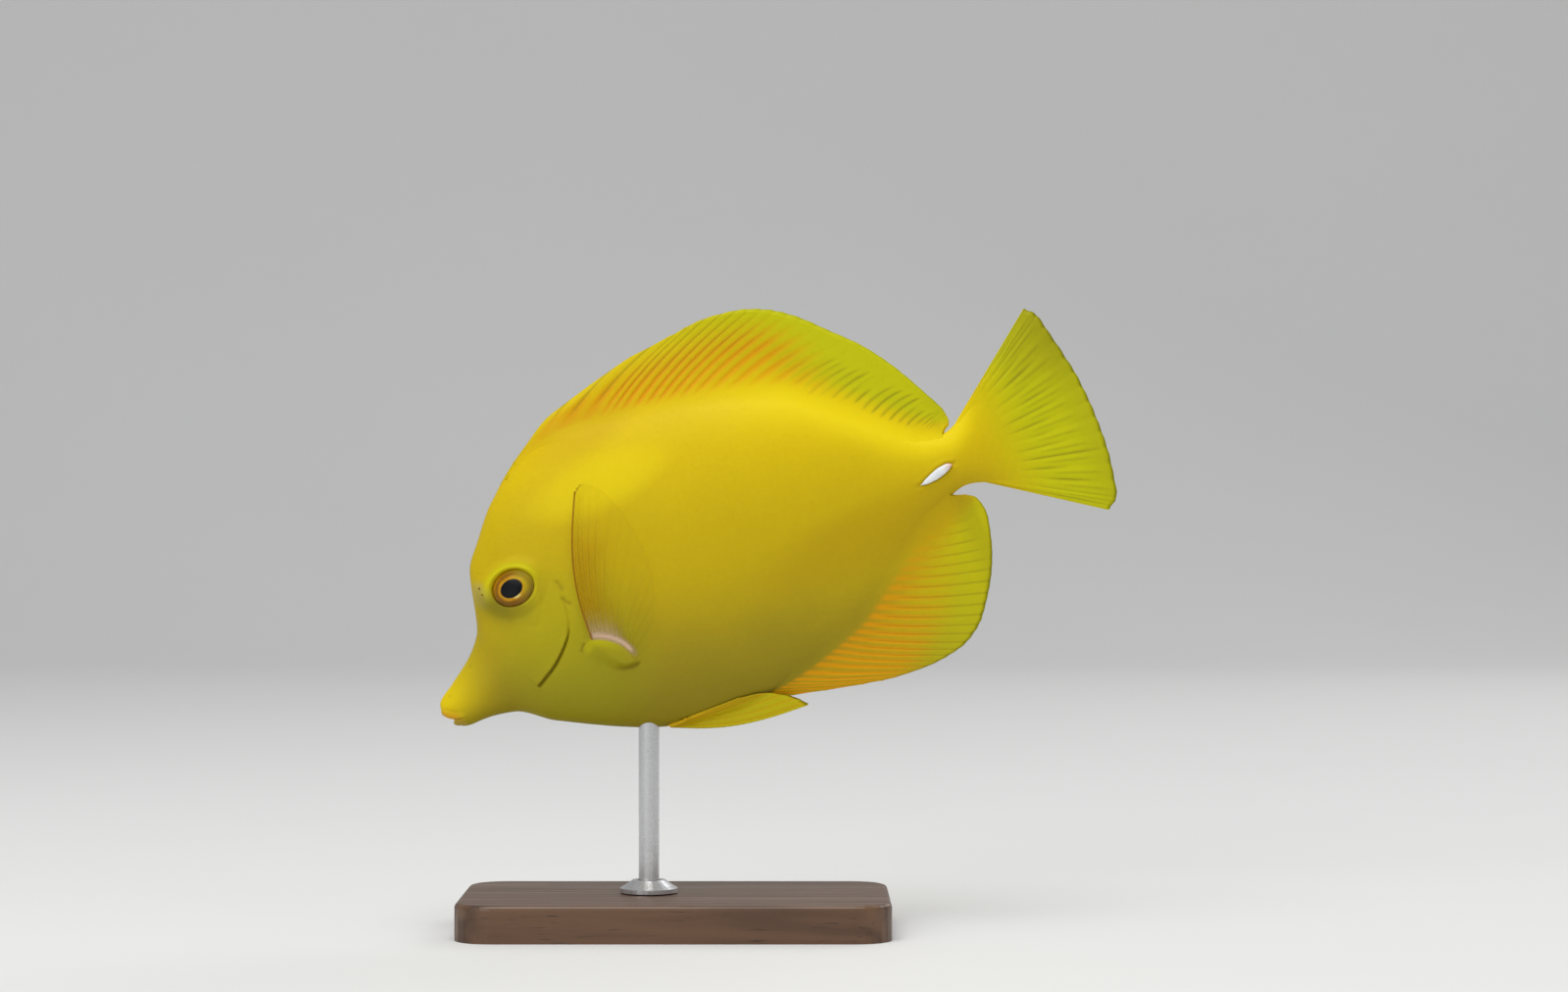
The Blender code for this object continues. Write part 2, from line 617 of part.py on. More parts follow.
def make_pelvic_fin(side, word, parts):
    def point(u, v):
        root = (along(PELVIC_ROWS, u, 0), along(PELVIC_ROWS, u, 1))
        return straight_ray(root, (along(PELVIC_ROWS, u, 2), along(PELVIC_ROWS, u, 3)), v)

    def sideways(x, z, v):
        clear = flank(x, z, PELVIC_OFF)
        return side * (clear ** 3 + PELVIC_SPREAD ** 3) ** (1.0 / 3.0)

    name = "pelvic_fin_" + word
    columns = fin_columns(PELVIC_SPINES, PELVIC_RAYS, PELVIC_ROWS)
    mesh = fin_mesh(name, columns, point, lambda u, v: (MEMBRANE + 0.4 * (1.0 - v) ** 2) / 2.0, sideways)
    shade(new_object(name, mesh, parts, "fin"), 20.0)


def make_fins(parts):
    dorsal = fin_columns(DORSAL_SPINES, DORSAL_RAYS, DORSAL_ROWS)
    midline_fin("dorsal_fin", DORSAL_ROWS, dorsal, lambda x: curve(BACK, x) + GAP, parts)
    anal = fin_columns(ANAL_SPINES, ANAL_RAYS, ANAL_ROWS)
    midline_fin("anal_fin", ANAL_ROWS, anal, lambda x: curve(BELLY, x) - GAP, parts)
    make_tail_fin(parts)
    for side, word in ((-1.0, "left"), (1.0, "right")):
        make_pectoral_fin(side, word, parts)
        make_pelvic_fin(side, word, parts)


def cylinder(name, radius, low, high, x, collection, colour=None, segments=32, **look):
    shape = bmesh.new()
    bmesh.ops.create_cone(shape, cap_ends=True, segments=segments, radius1=radius * MM, radius2=radius * MM,
                          depth=(high - low) * MM)
    bmesh.ops.translate(shape, verts=shape.verts, vec=(x * MM, 0.0, (low + high) / 2.0 * MM))
    mesh = bpy.data.meshes.new(name)
    shape.to_mesh(mesh)
    shape.free()
    return new_object(name, mesh, collection, colour, **look)


def make_stand(trunk, parts, cutters):
    length, width, height = BASE_SIZE
    shape = bmesh.new()
    bmesh.ops.create_cube(shape, size=1.0)
    bmesh.ops.scale(shape, verts=shape.verts, vec=(length * MM, width * MM, height * MM))
    bmesh.ops.translate(shape, verts=shape.verts, vec=(0.0, 0.0, height / 2.0 * MM))
    upright = [e for e in shape.edges if abs(e.verts[0].co.z - e.verts[1].co.z) > 1e-6]
    bmesh.ops.bevel(shape, geom=upright, offset=BASE_CORNER * MM, segments=6, profile=0.5, affect="EDGES")
    rim = [e for e in shape.edges if all(v.co.z > (height - 0.01) * MM for v in e.verts)]
    bmesh.ops.bevel(shape, geom=rim, offset=BASE_EDGE * MM, segments=3, profile=0.5, affect="EDGES")
    mesh = bpy.data.meshes.new("stand_base")
    shape.to_mesh(mesh)
    shape.free()
    base = new_object("stand_base", mesh, parts, "wood", roughness=0.4)
    rod_x = ROD_X + SNOUT_PLACE[0]
    belly_height = rod_foot_height(rod_x)
    top = belly_height + ROD_IN_BODY
    low = height - ROD_IN_BASE
    cut(base, cylinder("base_hole", ROD_RADIUS + GAP, low - GAP, height + 5.0, rod_x, cutters))
    cut(trunk, cylinder("rod_socket", ROD_RADIUS + GAP, height, top + GAP, rod_x, cutters))
    shade(base, 40.0)
    rod = cylinder("stand_rod", ROD_RADIUS, low, top, rod_x, parts, "steel", roughness=0.25, metallic=1.0)
    shade(rod, 40.0)
    make_collar(rod_x, height, parts)


def rod_foot_height(rod_x):
    """Height at which the upright rod meets the belly."""
    best = None
    for i in range(200):
        x = 20.0 + i * 0.3
        point = place(x, 0.0, curve(BELLY, x)) / MM
        if best is None or abs(point.x - rod_x) < abs(best.x - rod_x):
            best = point
    return best.z


def make_collar(rod_x, floor, parts):
    """A turned ring where the rod leaves the base."""
    inner = ROD_RADIUS + GAP
    low = floor + GAP
    top = low + COLLAR_HEIGHT
    profile = ((inner, top), (inner + 1.2, top), (COLLAR_RADIUS - 1.0, low + 1.6), (COLLAR_RADIUS, low + 1.0),
               (COLLAR_RADIUS, low), (inner, low))
    shape = bmesh.new()
    verts = [shape.verts.new((radius * MM, 0.0, z * MM)) for radius, z in profile]
    for i, vert in enumerate(verts):
        shape.edges.new((vert, verts[(i + 1) % len(verts)]))
    mesh = bpy.data.meshes.new("stand_collar")
    shape.to_mesh(mesh)
    shape.free()
    collar = new_object("stand_collar", mesh, parts, "steel", roughness=0.25, metallic=1.0)
    screw = collar.modifiers.new("Turn", "SCREW")
    screw.steps = 32
    screw.render_steps = 32
    screw.use_merge_vertices = True
    screw.merge_threshold = 0.00001
    apply_modifiers(collar)
    for vert in collar.data.vertices:
        vert.co.x += rod_x * MM
    shade(collar, 40.0)


def make_tang():
    for old in list(bpy.data.objects):
        bpy.data.objects.remove(old, do_unlink=True)
    parts = bpy.data.collections.new("yellow_tang")
    cutters = bpy.data.collections.new("cutters")
    bpy.context.scene.collection.children.link(parts)
    bpy.context.scene.collection.children.link(cutters)
    flesh = make_flesh(parts, cutters)
    for side, word in ((-1.0, "left"), (1.0, "right")):
        make_nostrils(side, word, flesh["head"], cutters)
        make_eye(side, word, flesh["head"], parts, cutters)
        make_gill_cover(side, word, flesh["head"], parts, cutters)
        make_pectoral_root(side, word, flesh["trunk"], parts, cutters)
        make_tail_spine(side, word, flesh["tail_stalk"], parts, cutters)
    make_fins(parts)
    make_stand(flesh["trunk"], parts, cutters)
    for piece in flesh.values():
        shade(piece)


make_tang()
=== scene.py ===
import math

import bmesh
import bpy
import numpy as np
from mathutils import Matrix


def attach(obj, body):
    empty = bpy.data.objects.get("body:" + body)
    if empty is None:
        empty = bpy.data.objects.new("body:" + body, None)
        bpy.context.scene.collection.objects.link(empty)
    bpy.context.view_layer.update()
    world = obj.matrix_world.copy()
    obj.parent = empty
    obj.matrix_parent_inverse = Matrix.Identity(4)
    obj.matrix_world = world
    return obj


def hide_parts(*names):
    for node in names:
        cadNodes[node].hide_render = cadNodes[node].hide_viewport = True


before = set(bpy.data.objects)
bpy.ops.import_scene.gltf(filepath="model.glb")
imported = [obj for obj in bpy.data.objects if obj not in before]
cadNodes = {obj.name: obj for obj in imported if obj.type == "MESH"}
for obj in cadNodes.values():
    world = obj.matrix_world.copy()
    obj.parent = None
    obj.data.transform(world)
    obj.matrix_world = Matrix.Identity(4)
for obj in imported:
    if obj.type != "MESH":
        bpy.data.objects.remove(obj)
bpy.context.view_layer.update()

mm = 0.001

# The fish is drawn in millimetres in a frame of its own: x runs back from the snout, z up, y to its right.
swimPose = {"snoutX": -57.0, "snoutZ": 54.0, "noseDown": math.radians(25.0)}
sides = {"Left": -1.0, "Right": 1.0}


def toPart(points):
    # points of the fish's frame, in metres in the part's frame
    x, y, z = np.asarray(points, float).reshape(-1, 3).T
    cosine = math.cos(swimPose["noseDown"])
    sine = math.sin(swimPose["noseDown"])
    placed = (x * cosine - z * sine + swimPose["snoutX"], y, x * sine + z * cosine + swimPose["snoutZ"])
    return np.stack(placed, axis=1) * mm


# Smooth curves and blends

def slopesOf(xs, ys):
    # level where the points turn back, so that a curve never overshoots them
    widths = np.diff(xs)
    grades = np.diff(ys) / widths
    slopes = np.zeros(len(xs))
    slopes[0] = grades[0]
    slopes[-1] = grades[-1]
    for i in range(1, len(grades)):
        before = grades[i - 1]
        after = grades[i]
        if before * after > 0.0:
            near = 2.0 * widths[i] + widths[i - 1]
            far = widths[i] + 2.0 * widths[i - 1]
            slopes[i] = (near + far) / (near / before + far / after)
    return slopes


def curveAt(points, x):
    xs, ys = np.array(points, float).T
    slopes = slopesOf(xs, ys)
    x = np.clip(np.asarray(x, float), xs[0], xs[-1])
    i = np.clip(np.searchsorted(xs, x, side="right") - 1, 0, len(xs) - 2)
    width = xs[i + 1] - xs[i]
    t = (x - xs[i]) / width
    fromLeft = (1.0 + 2.0 * t) * (1.0 - t) ** 2 * ys[i] + t * (1.0 - t) ** 2 * width * slopes[i]
    fromRight = t * t * (3.0 - 2.0 * t) * ys[i + 1] + t * t * (t - 1.0) * width * slopes[i + 1]
    return fromLeft + fromRight


def column(rows, number, place):
    # one column of a list of rows, read smoothly at a place among the rows
    return curveAt([(i, row[number]) for i, row in enumerate(rows)], place)


def smoothLine(points, count=48):
    # evenly numbered points along a smooth line in the side view
    places = np.linspace(0.0, len(points) - 1.0, count)
    return np.stack([column(points, 0, places), column(points, 1, places)], axis=1)


def ease(low, high, value):
    share = np.clip((np.asarray(value, float) - low) / (high - low), 0.0, 1.0)
    return share * share * (3.0 - 2.0 * share)


def hump(value, width):
    return np.exp(-(np.asarray(value, float) / width) ** 2)


def lineReach(line, x, z):
    # how far each point is from a line, positive on the left of its direction, and the share along the line
    best = np.full(len(x), 1e9)
    signed = np.zeros(len(x))
    share = np.zeros(len(x))
    count = len(line) - 1
    for i in range(count):
        alongX, alongZ = line[i + 1] - line[i]
        length = math.hypot(alongX, alongZ)
        offX = x - line[i][0]
        offZ = z - line[i][1]
        t = np.clip((offX * alongX + offZ * alongZ) / length ** 2, 0.0, 1.0)
        gap = np.hypot(offX - t * alongX, offZ - t * alongZ)
        left = np.where(alongX * offZ - alongZ * offX > 0.0, 1.0, -1.0)
        nearer = gap < best
        best = np.where(nearer, gap, best)
        signed = np.where(nearer, gap * left, signed)
        share = np.where(nearer, (i + t) / count, share)
    return signed, share


# Body

body = {
    "back": ((-0.25, -0.8), (-0.05, 0.3), (0.3, 1.05), (0.9, 1.7), (5.0, 4.1), (15.3, 12.3), (20.8, 28.0), (24.5, 32.2), (33.0, 40.6),
             (50.0, 48.0), (54.0, 48.2), (74.0, 44.6), (105.0, 34.7), (130.0, 13.0), (133.0, 10.6),
             (139.0, 8.8), (145.0, 11.2), (149.0, 13.7), (154.0, 16.9)),
    "belly": ((-0.25, -2.0), (0.0, -2.45), (0.9, -3.9), (1.4, -4.75), (2.2, -5.75), (3.0, -6.35),
              (4.6, -6.8), (8.5, -6.95), (16.0, -8.5), (24.0, -14.6),
              (56.0, -29.6), (66.0, -30.8), (76.0, -30.3), (100.0, -24.6), (112.0, -17.5), (130.0, -7.4),
              (138.0, -4.9), (145.0, -7.2), (149.0, -10.0), (154.0, -13.5)),
    "halfWidth": ((-0.25, 1.1), (0.8, 2.3), (8.0, 4.0), (14.0, 5.1), (40.0, 9.7), (55.0, 10.5), (70.0, 10.2),
                  (128.0, 3.6), (143.0, 2.15), (148.0, 1.0), (152.0, 0.4), (154.0, 0.0)),
    "widest": ((-0.25, -1.4), (8.0, -0.5), (30.0, 6.0), (60.0, 8.0), (80.0, 8.0), (120.0, 4.5), (138.0, 2.0),
               (154.0, 1.8)),
    "fullness": 1.85,       # 2 is an ellipse, less is slimmer towards back and belly
    "start": -0.25, "noseCap": 0.2,     # first section, and length of the rounded end before it
    "tailEnd": 154.0,
    "headEnd": 50.0,
    "headStep": 0.8,
    "trunkStep": 1.6,
    "ringPoints": 152,
}


def flankAt(x, z, grow=0.0):
    # half the width of the body at a point of the side view, with the body grown by a margin
    middle = curveAt(body["widest"], x)
    reach = np.where(z > middle, curveAt(body["back"], x) - middle, middle - curveAt(body["belly"], x))
    share = np.clip(np.abs(z - middle) / (reach + grow), 0.0, 1.0)
    return (curveAt(body["halfWidth"], x) + grow) * (1.0 - share ** body["fullness"]) ** (1.0 / body["fullness"])


def sectionAt(x, turn):
    # a point of the plain body: turn runs from the belly up the right side, over the back and down the left
    first = body["start"]
    cap = np.sqrt(np.clip(1.0 - np.clip((first - x) / body["noseCap"], 0.0, 1.0) ** 2, 0.0, 1.0))
    middle = curveAt(body["widest"], x)
    power = 2.0 / body["fullness"]
    across = np.sign(np.cos(turn)) * np.abs(np.cos(turn)) ** power
    height = np.sign(np.sin(turn)) * np.abs(np.sin(turn)) ** power
    reach = np.where(height > 0.0, curveAt(body["back"], x) - middle, middle - curveAt(body["belly"], x))
    y = across * curveAt(body["halfWidth"], x) * cap
    return np.stack([x, y, middle + height * reach * cap], axis=1)


def outwardAt(x, turn, step=0.02):
    alongBody = sectionAt(x + step, turn) - sectionAt(x - step, turn)
    roundBody = sectionAt(x, turn + step * 0.1) - sectionAt(x, turn - step * 0.1)
    normal = np.cross(alongBody, roundBody)
    length = np.linalg.norm(normal, axis=1, keepdims=True)
    normal = normal / np.maximum(length, 1e-9)
    point = sectionAt(x, turn)
    inside = np.stack([x, 0.0 * x, curveAt(body["widest"], x)], axis=1)
    wrong = np.sum(normal * (point - inside), axis=1) < 0.0
    normal[wrong] *= -1.0
    return normal


# Folds, lids and openings of the skin, as lines and places in the side view

eye = {
    "x": 28.6, "z": 18.9,
    "opening": (5.35, 4.4),     # half length and half height between the lids
    "rim": (0.04, 0.5),         # how far the lower and the upper lid stand out
    "brow": 0.6,                # swelling over the eye
    "ball": (6.1, 5.1, 2.7),    # half length, half height and depth of the ball
    "bulge": 0.8,               # how far the ball stands out of the cheek
    "socket": 3.4,
    "iris": (5.45, 4.5),
    "pupil": (2.92, 2.17), "pupilX": -0.2, "pupilZ": -0.05,
}
mouth = {
    "top": ((-4.0, 1.2), (-0.1, -2.2), (0.9, -3.15), (2.2, -3.95), (3.4, -4.4), (4.6, -4.8)),
    "bottom": ((-4.0, -10.0), (0.8, -7.0), (1.15, -5.2), (1.4, -4.6), (2.2, -4.0), (3.4, -4.42), (4.6, -4.8)),
    "corner": (4.6, -4.8),
    "back": (2.9, -4.1),        # where the open mouth closes inside
    "edge": 0.6,                # how round the lips are
    "lipHeight": 0.75, "lipSwell": 0.3, "lipGroove": 0.12,
    "jawLine": ((4.6, -4.8), (6.6, -5.9), (9.5, -6.9)),
}
gill = {
    "line": ((23.9, -5.3), (26.0, -4.3), (30.0, -2.2), (34.0, 1.0), (36.2, 3.4), (37.5, 6.0), (38.3, 9.5),
             (38.6, 12.5), (38.2, 15.5), (37.2, 19.0)),
    "strength": ((0.0, 0.0), (0.04, 1.0), (0.3, 0.85), (0.42, 0.5), (0.52, 0.16), (0.8, 0.12), (1.0, 0.0)),
    "lift": 0.45, "depth": 0.6, "width": (0.38, 0.17),
    "dents": (((39.0, 15.8), (39.4, 13.6)), ((38.5, 11.6), (39.6, 9.6))),
    "cheekLine": ((27.0, 10.5), (30.5, 8.0), (33.0, 11.0), (34.4, 15.5), (34.2, 20.5)),
}
nostrils = {"places": ((21.0, 22.1, 0.42), (21.1, 20.4, 0.3)), "depth": 0.5, "rim": 0.08}
pores = {"places": ((22.0, 25.7), (11.0, 6.2), (3.2, 1.6), (24.6, 11.8), (31.5, 26.8), (14.5, 8.6)), "radius": 0.22}
finLobe = {
    "top": ((38.7, -0.9), (41.0, 0.0), (43.2, -0.9), (45.3, -2.4), (46.9, -4.2), (47.9, -6.4), (48.6, -9.2)),
    "low": ((37.9, -2.6), (38.9, -4.9), (40.6, -7.2), (42.6, -8.8), (45.0, -9.9), (47.4, -10.3), (49.4, -10.2)),
    "lift": 1.3, "fold": 0.4,
    "notch": ((37.2, -2.0), (38.6, -0.6)),
}
tailSpine = {
    "top": ((128.2, -0.1), (130.0, 0.6), (132.0, 1.3), (134.0, 1.8), (136.0, 1.9), (137.4, 1.4)),
    "low": ((128.2, -0.45), (130.0, -0.7), (132.0, -0.7), (134.0, -0.4), (136.0, 0.2), (137.4, 0.95)),
    "groove": 0.3, "sheath": 0.15,
}


def smoothnessOf(x, z):
    # slow swells of the flank, so that it isn't a ruled shape
    long = np.sin(0.21 * x + 0.13 * z) * np.sin(0.17 * z - 0.08 * x + 1.3)
    short = np.sin(0.55 * x - 0.31 * z + 0.7) * np.sin(0.43 * z + 0.26 * x)
    inside = np.minimum(curveAt(body["back"], x) - z, z - curveAt(body["belly"], x))
    return (0.09 * long + 0.03 * short) * ease(6.0, 30.0, x) * (1.0 - ease(140.0, 150.0, x)) * ease(3.0, 9.0, inside)


def eyeRing(x, z):
    # distance outside the opening between the lids, in millimetres
    length, height = eye["opening"]
    return (np.hypot((x - eye["x"]) / length, (z - eye["z"]) / height) - 1.0) * (length + height) / 2.0


def lidShape(x, z):
    ring = eyeRing(x, z)
    above = ease(-2.0, 4.0, z - eye["z"])
    behind = ease(-1.0, 5.0, x - eye["x"])
    front = 1.0 - ease(-5.0, 0.0, x - eye["x"])
    lowRim, highRim = eye["rim"]
    rim = (lowRim + (highRim - lowRim) * above) * hump(ring - 0.55, 0.45)
    brow = eye["brow"] * above * hump(ring - 1.6, 1.3)
    pouch = 0.1 * (1.0 - above) * hump(ring - 1.6, 1.2) - 0.14 * (1.0 - above) * hump(ring - 3.2, 1.0)
    fold = 0.1 * behind * (1.0 - 0.5 * above) * hump(ring - 0.9, 0.25)
    socket = -eye["socket"] * ease(0.1, -0.42, ring)
    lift = rim + brow + pouch + fold + socket
    shade = hump(ring + 0.1, 0.2) * (0.2 + 0.6 * above * ease(-2.0, 2.0, x - eye["x"]))
    # painted highlight where the top light catches the bulging upper lid and the fold behind the eye
    paintedHighlight = above * hump(ring - 1.0, 0.95) + 0.4 * behind * hump(ring - 0.5, 0.25)
    # painted shadow under the bulge of the eye
    paintedUnderEyeShadow = (1.0 - above) * hump(np.maximum(ring - 0.8, 0.0), 3.4) * (0.7 + 0.3 * front) * (1.0 - 0.75 * behind)
    return lift, np.clip(shade, 0.0, 1.0), np.clip(paintedHighlight, 0.0, 1.0), np.clip(paintedUnderEyeShadow, 0.0, 1.0)


def gillShape(x, z):
    gap, share = lineReach(smoothLine(gill["line"]), x, z)
    strength = curveAt(gill["strength"], share)
    wide, narrow = gill["width"]
    width = wide + (narrow - wide) * ease(0.12, 0.5, share)
    cover = gill["lift"] * ease(-0.05, 0.3, gap) * np.exp(-np.maximum(gap, 0.0) / 2.4)
    slit = -gill["depth"] * np.exp(-((gap + 0.12) / width) ** 2) * ease(0.1, 0.6, strength)
    behind = -0.25 * np.exp(-np.maximum(-gap, 0.0) / 1.3) * ease(0.3, -0.3, gap)
    faint = -0.22 * hump(gap, 0.35) * (1.0 - ease(0.2, 0.7, strength)) * ease(0.0, 0.2, strength)
    lift = strength * (cover + behind) + slit + faint
    shade = 0.8 * np.exp(-((gap + 0.1) / width) ** 2) * strength
    cheekGap, cheekShare = lineReach(smoothLine(gill["cheekLine"]), x, z)
    lift = lift - 0.16 * np.sin(math.pi * cheekShare) * hump(cheekGap, 0.55)
    for dent in gill["dents"]:
        away, along = lineReach(smoothLine(dent, 6), x, z)
        lift = lift - 0.25 * hump(away, 0.4)
        shade = shade + 0.4 * hump(away, 0.4)
    return lift, np.clip(shade, 0.0, 1.0)


def lipAway(x, z):
    # distance from the edge of the mouth, on either lip
    upper, _ = lineReach(smoothLine(mouth["top"][1:], 20), x, z)
    lower, _ = lineReach(smoothLine(mouth["bottom"][1:], 20), x, z)
    return np.minimum(np.abs(upper), np.abs(lower))


def lipShape(x, z):
    away = lipAway(x, z)
    near = 1.0 - ease(3.6, 6.0, x)
    height = mouth["lipHeight"]
    swell = mouth["lipSwell"] * hump(away - 0.5 * height, height) - mouth["lipGroove"] * hump(away - 2.2 * height, 0.5 * height)
    gap, share = lineReach(smoothLine(mouth["jawLine"], 16), x, z)
    jaw = -0.12 * hump(gap, 0.5) * (1.0 - ease(0.4, 1.0, share))
    slitGap, slitShare = lineReach(smoothLine(mouth["top"][3:], 12), x, z)
    slit = hump(slitGap, 0.2) * (1.0 - ease(0.5, 1.0, slitShare))
    upper = ease(-0.4, 0.4, z - (curveAt(mouth["top"], x) + curveAt(mouth["bottom"], x)) / 2.0)
    tint = upper * hump(away, 1.5) * (1.0 - ease(2.4, 4.6, x))
    brown = (1.0 - upper) * hump(away - 0.5, 1.6) * (1.0 - ease(2.6, 5.4, x))
    return near * swell + jaw - 0.22 * slit, np.clip(0.35 * slit, 0.0, 1.0), tint, brown


def lobeShape(x, z):
    topGap, topShare = lineReach(smoothLine(finLobe["top"]), x, z)
    lowGap, lowShare = lineReach(smoothLine(finLobe["low"]), x, z)
    inTop = ease(-0.15, 0.45, -topGap)
    soft = 3.8 - 2.6 * ease(0.3, 0.8, lowShare)     # its lower edge runs out smoothly in front
    inLow = ease(0.0, 1.0, (lowGap + 0.3) / (soft + 0.3))
    front = ease(36.5, 41.0, x)
    rear = 1.0 - ease(47.4, 49.6, x)
    lift = finLobe["lift"] * inTop * inLow * front * rear
    lift = lift + 0.35 * hump(lowGap - 1.2, 1.6) * hump(x - 37.0, 3.0) * inTop
    fold = finLobe["fold"] * hump(lowGap + 0.1, 0.38) * ease(0.42, 0.7, lowShare) * (1.0 - ease(0.92, 1.0, lowShare))
    notchGap, notchShare = lineReach(smoothLine(finLobe["notch"], 8), x, z)
    notch = hump(notchGap, 0.28)
    shade = 0.55 * fold / finLobe["fold"] + 0.55 * notch
    along = ease(0.1, 0.35, topShare) * (1.0 - ease(0.8, 1.0, topShare))
    pink = 0.75 * hump(topGap - 0.55, 0.6) * along
    # painted highlight along the raised top of the lobe
    paintedHighlight = 0.6 * hump(topGap + 1.1, 0.9) * (1.0 - ease(0.3, 0.8, topShare)) * ease(37.0, 39.5, x)
    return lift - fold - 0.35 * notch, np.clip(shade, 0.0, 1.0), np.clip(pink, 0.0, 1.0), paintedHighlight


def spineShape(x, z):
    middle = (curveAt(tailSpine["top"], x) + curveAt(tailSpine["low"], x)) / 2.0
    half = (curveAt(tailSpine["top"], x) - curveAt(tailSpine["low"], x)) / 2.0
    inRange = ease(126.6, 128.2, x) * (1.0 - ease(137.6, 139.0, x))
    gap = np.abs(z - middle) - half
    groove = -tailSpine["groove"] * ease(0.35, -0.15, gap) * inRange
    sheath = tailSpine["sheath"] * hump(gap - 0.75, 0.5) * inRange
    return groove + sheath, 0.08 * hump(gap - 0.15, 0.2) * inRange


def pitShape(x, z):
    lift = 0.0 * x
    shade = 0.0 * x
    for placeX, placeZ, radius in nostrils["places"]:
        away = np.hypot(x - placeX, z - placeZ)
        lift = lift - nostrils["depth"] * ease(radius, 0.35 * radius, away)
        lift = lift + nostrils["rim"] * hump(away - radius - 0.16, 0.2)
        shade = shade + 0.3 * ease(radius * 1.1, radius * 0.5, away)
    for placeX, placeZ in pores["places"]:
        away = np.hypot(x - placeX, z - placeZ)
        lift = lift - 0.12 * hump(away, pores["radius"])
        shade = shade + 0.35 * hump(away, pores["radius"])
    return lift, np.clip(shade, 0.0, 1.0)


def foldMouth(points):
    # draws the skin that spans the open mouth back and in, as a fold between the lips
    x, y, z = points.T
    top = curveAt(mouth["top"], x)
    bottom = curveAt(mouth["bottom"], x)
    inside = np.minimum(top - z, z - bottom)
    share = np.where(x < mouth["corner"][0], ease(0.0, mouth["edge"], inside), 0.0)
    backX, backZ = mouth["back"]
    drawn = np.stack([np.maximum(x, backX), y * 0.5, np.full(len(x), backZ)], axis=1)
    return points + (drawn - points) * share[:, None], share


def skinShape(x, turn):
    # the finished skin at its pattern's places, with the marks that its material reads
    base = sectionAt(x, turn)
    outward = outwardAt(x, turn)
    x, z = base[:, 0], base[:, 2]
    facing = ease(0.15, 0.55, np.abs(outward[:, 1]))
    lidLift, lidShade, paintedHighlight, paintedUnderEyeShadow = lidShape(x, z)
    gillLift, gillShade = gillShape(x, z)
    lipLift, lipShade, lipTint, lipBrown = lipShape(x, z)
    lobeLift, lobeShade, pink, lobeHighlight = lobeShape(x, z)
    spineLift, spineShade = spineShape(x, z)
    pitLift, pitShade = pitShape(x, z)
    lift = facing * (lidLift + gillLift + lobeLift + spineLift + pitLift + smoothnessOf(x, z))
    lift = lift + lipLift * ease(-0.4, 0.8, x)
    points, inMouth = foldMouth(base + outward * lift[:, None])
    # painted shade: lids, gill slit, lobe fold, spine groove, nostrils, pores and the open mouth are darkened in their
    # creases and hollows
    paintedCreaseShade = facing * np.clip(lidShade + gillShade + lobeShade + spineShade + pitShade, 0.0, 1.0)
    warm, green = tintAt("skin", x, z)
    marks = {
        "paintedCreaseShade": np.clip(paintedCreaseShade + lipShade + 0.6 * inMouth ** 2, 0.0, 1.0),
        "lipTint": lipTint, "lipBrown": lipBrown, "pink": pink * facing,
        "paintedHighlight": np.clip(paintedHighlight + lobeHighlight, 0.0, 1.0) * facing,
        "paintedUnderEyeShadow": paintedUnderEyeShadow * facing, "warm": warm, "green": green,
        "bright": paintedSheenAt(x, z),
    }
    return points, marks


finePatches = (             # x and z ranges of the side view, and the longest mesh edge there
    (-1.3, 50.0, -32.0, 50.0, 0.75),
    (21.0, 36.5, 12.5, 26.5, 0.3),
    (22.2, 34.6, 13.6, 24.2, 0.15),
    (-1.3, 6.0, -8.0, 2.0, 0.12),
    (22.5, 40.0, -7.0, 20.5, 0.35),
    (36.0, 51.0, -12.5, 2.5, 0.32),
    (125.5, 140.0, -3.5, 4.5, 0.35),
)
lineDetail = {"reach": 0.75, "edge": 0.14, "rim": 5.5, "rimEdge": 0.85}


def edgeLimit(x, z):
    limit = np.full(len(x), 2.4)
    for lowX, highX, lowZ, highZ, longest in finePatches:
        inPatch = (x > lowX) & (x < highX) & (z > lowZ) & (z < highZ)
        limit = np.where(inPatch, np.minimum(limit, longest), limit)
    edgeRoom = np.minimum(curveAt(body["back"], x) - z, z - curveAt(body["belly"], x))
    limit = np.where((edgeRoom < lineDetail["rim"]) & (x > 30.0), np.minimum(limit, lineDetail["rimEdge"]), limit)
    gap, share = lineReach(smoothLine(gill["line"]), x, z)
    onSlit = (np.abs(gap) < lineDetail["reach"]) & (share < 0.7)
    limit = np.where(onSlit, np.minimum(limit, lineDetail["edge"]), limit)
    for placeX, placeZ, radius in nostrils["places"]:
        limit = np.where(np.hypot(x - placeX, z - placeZ) < radius + 0.5, lineDetail["edge"], limit)
    return limit


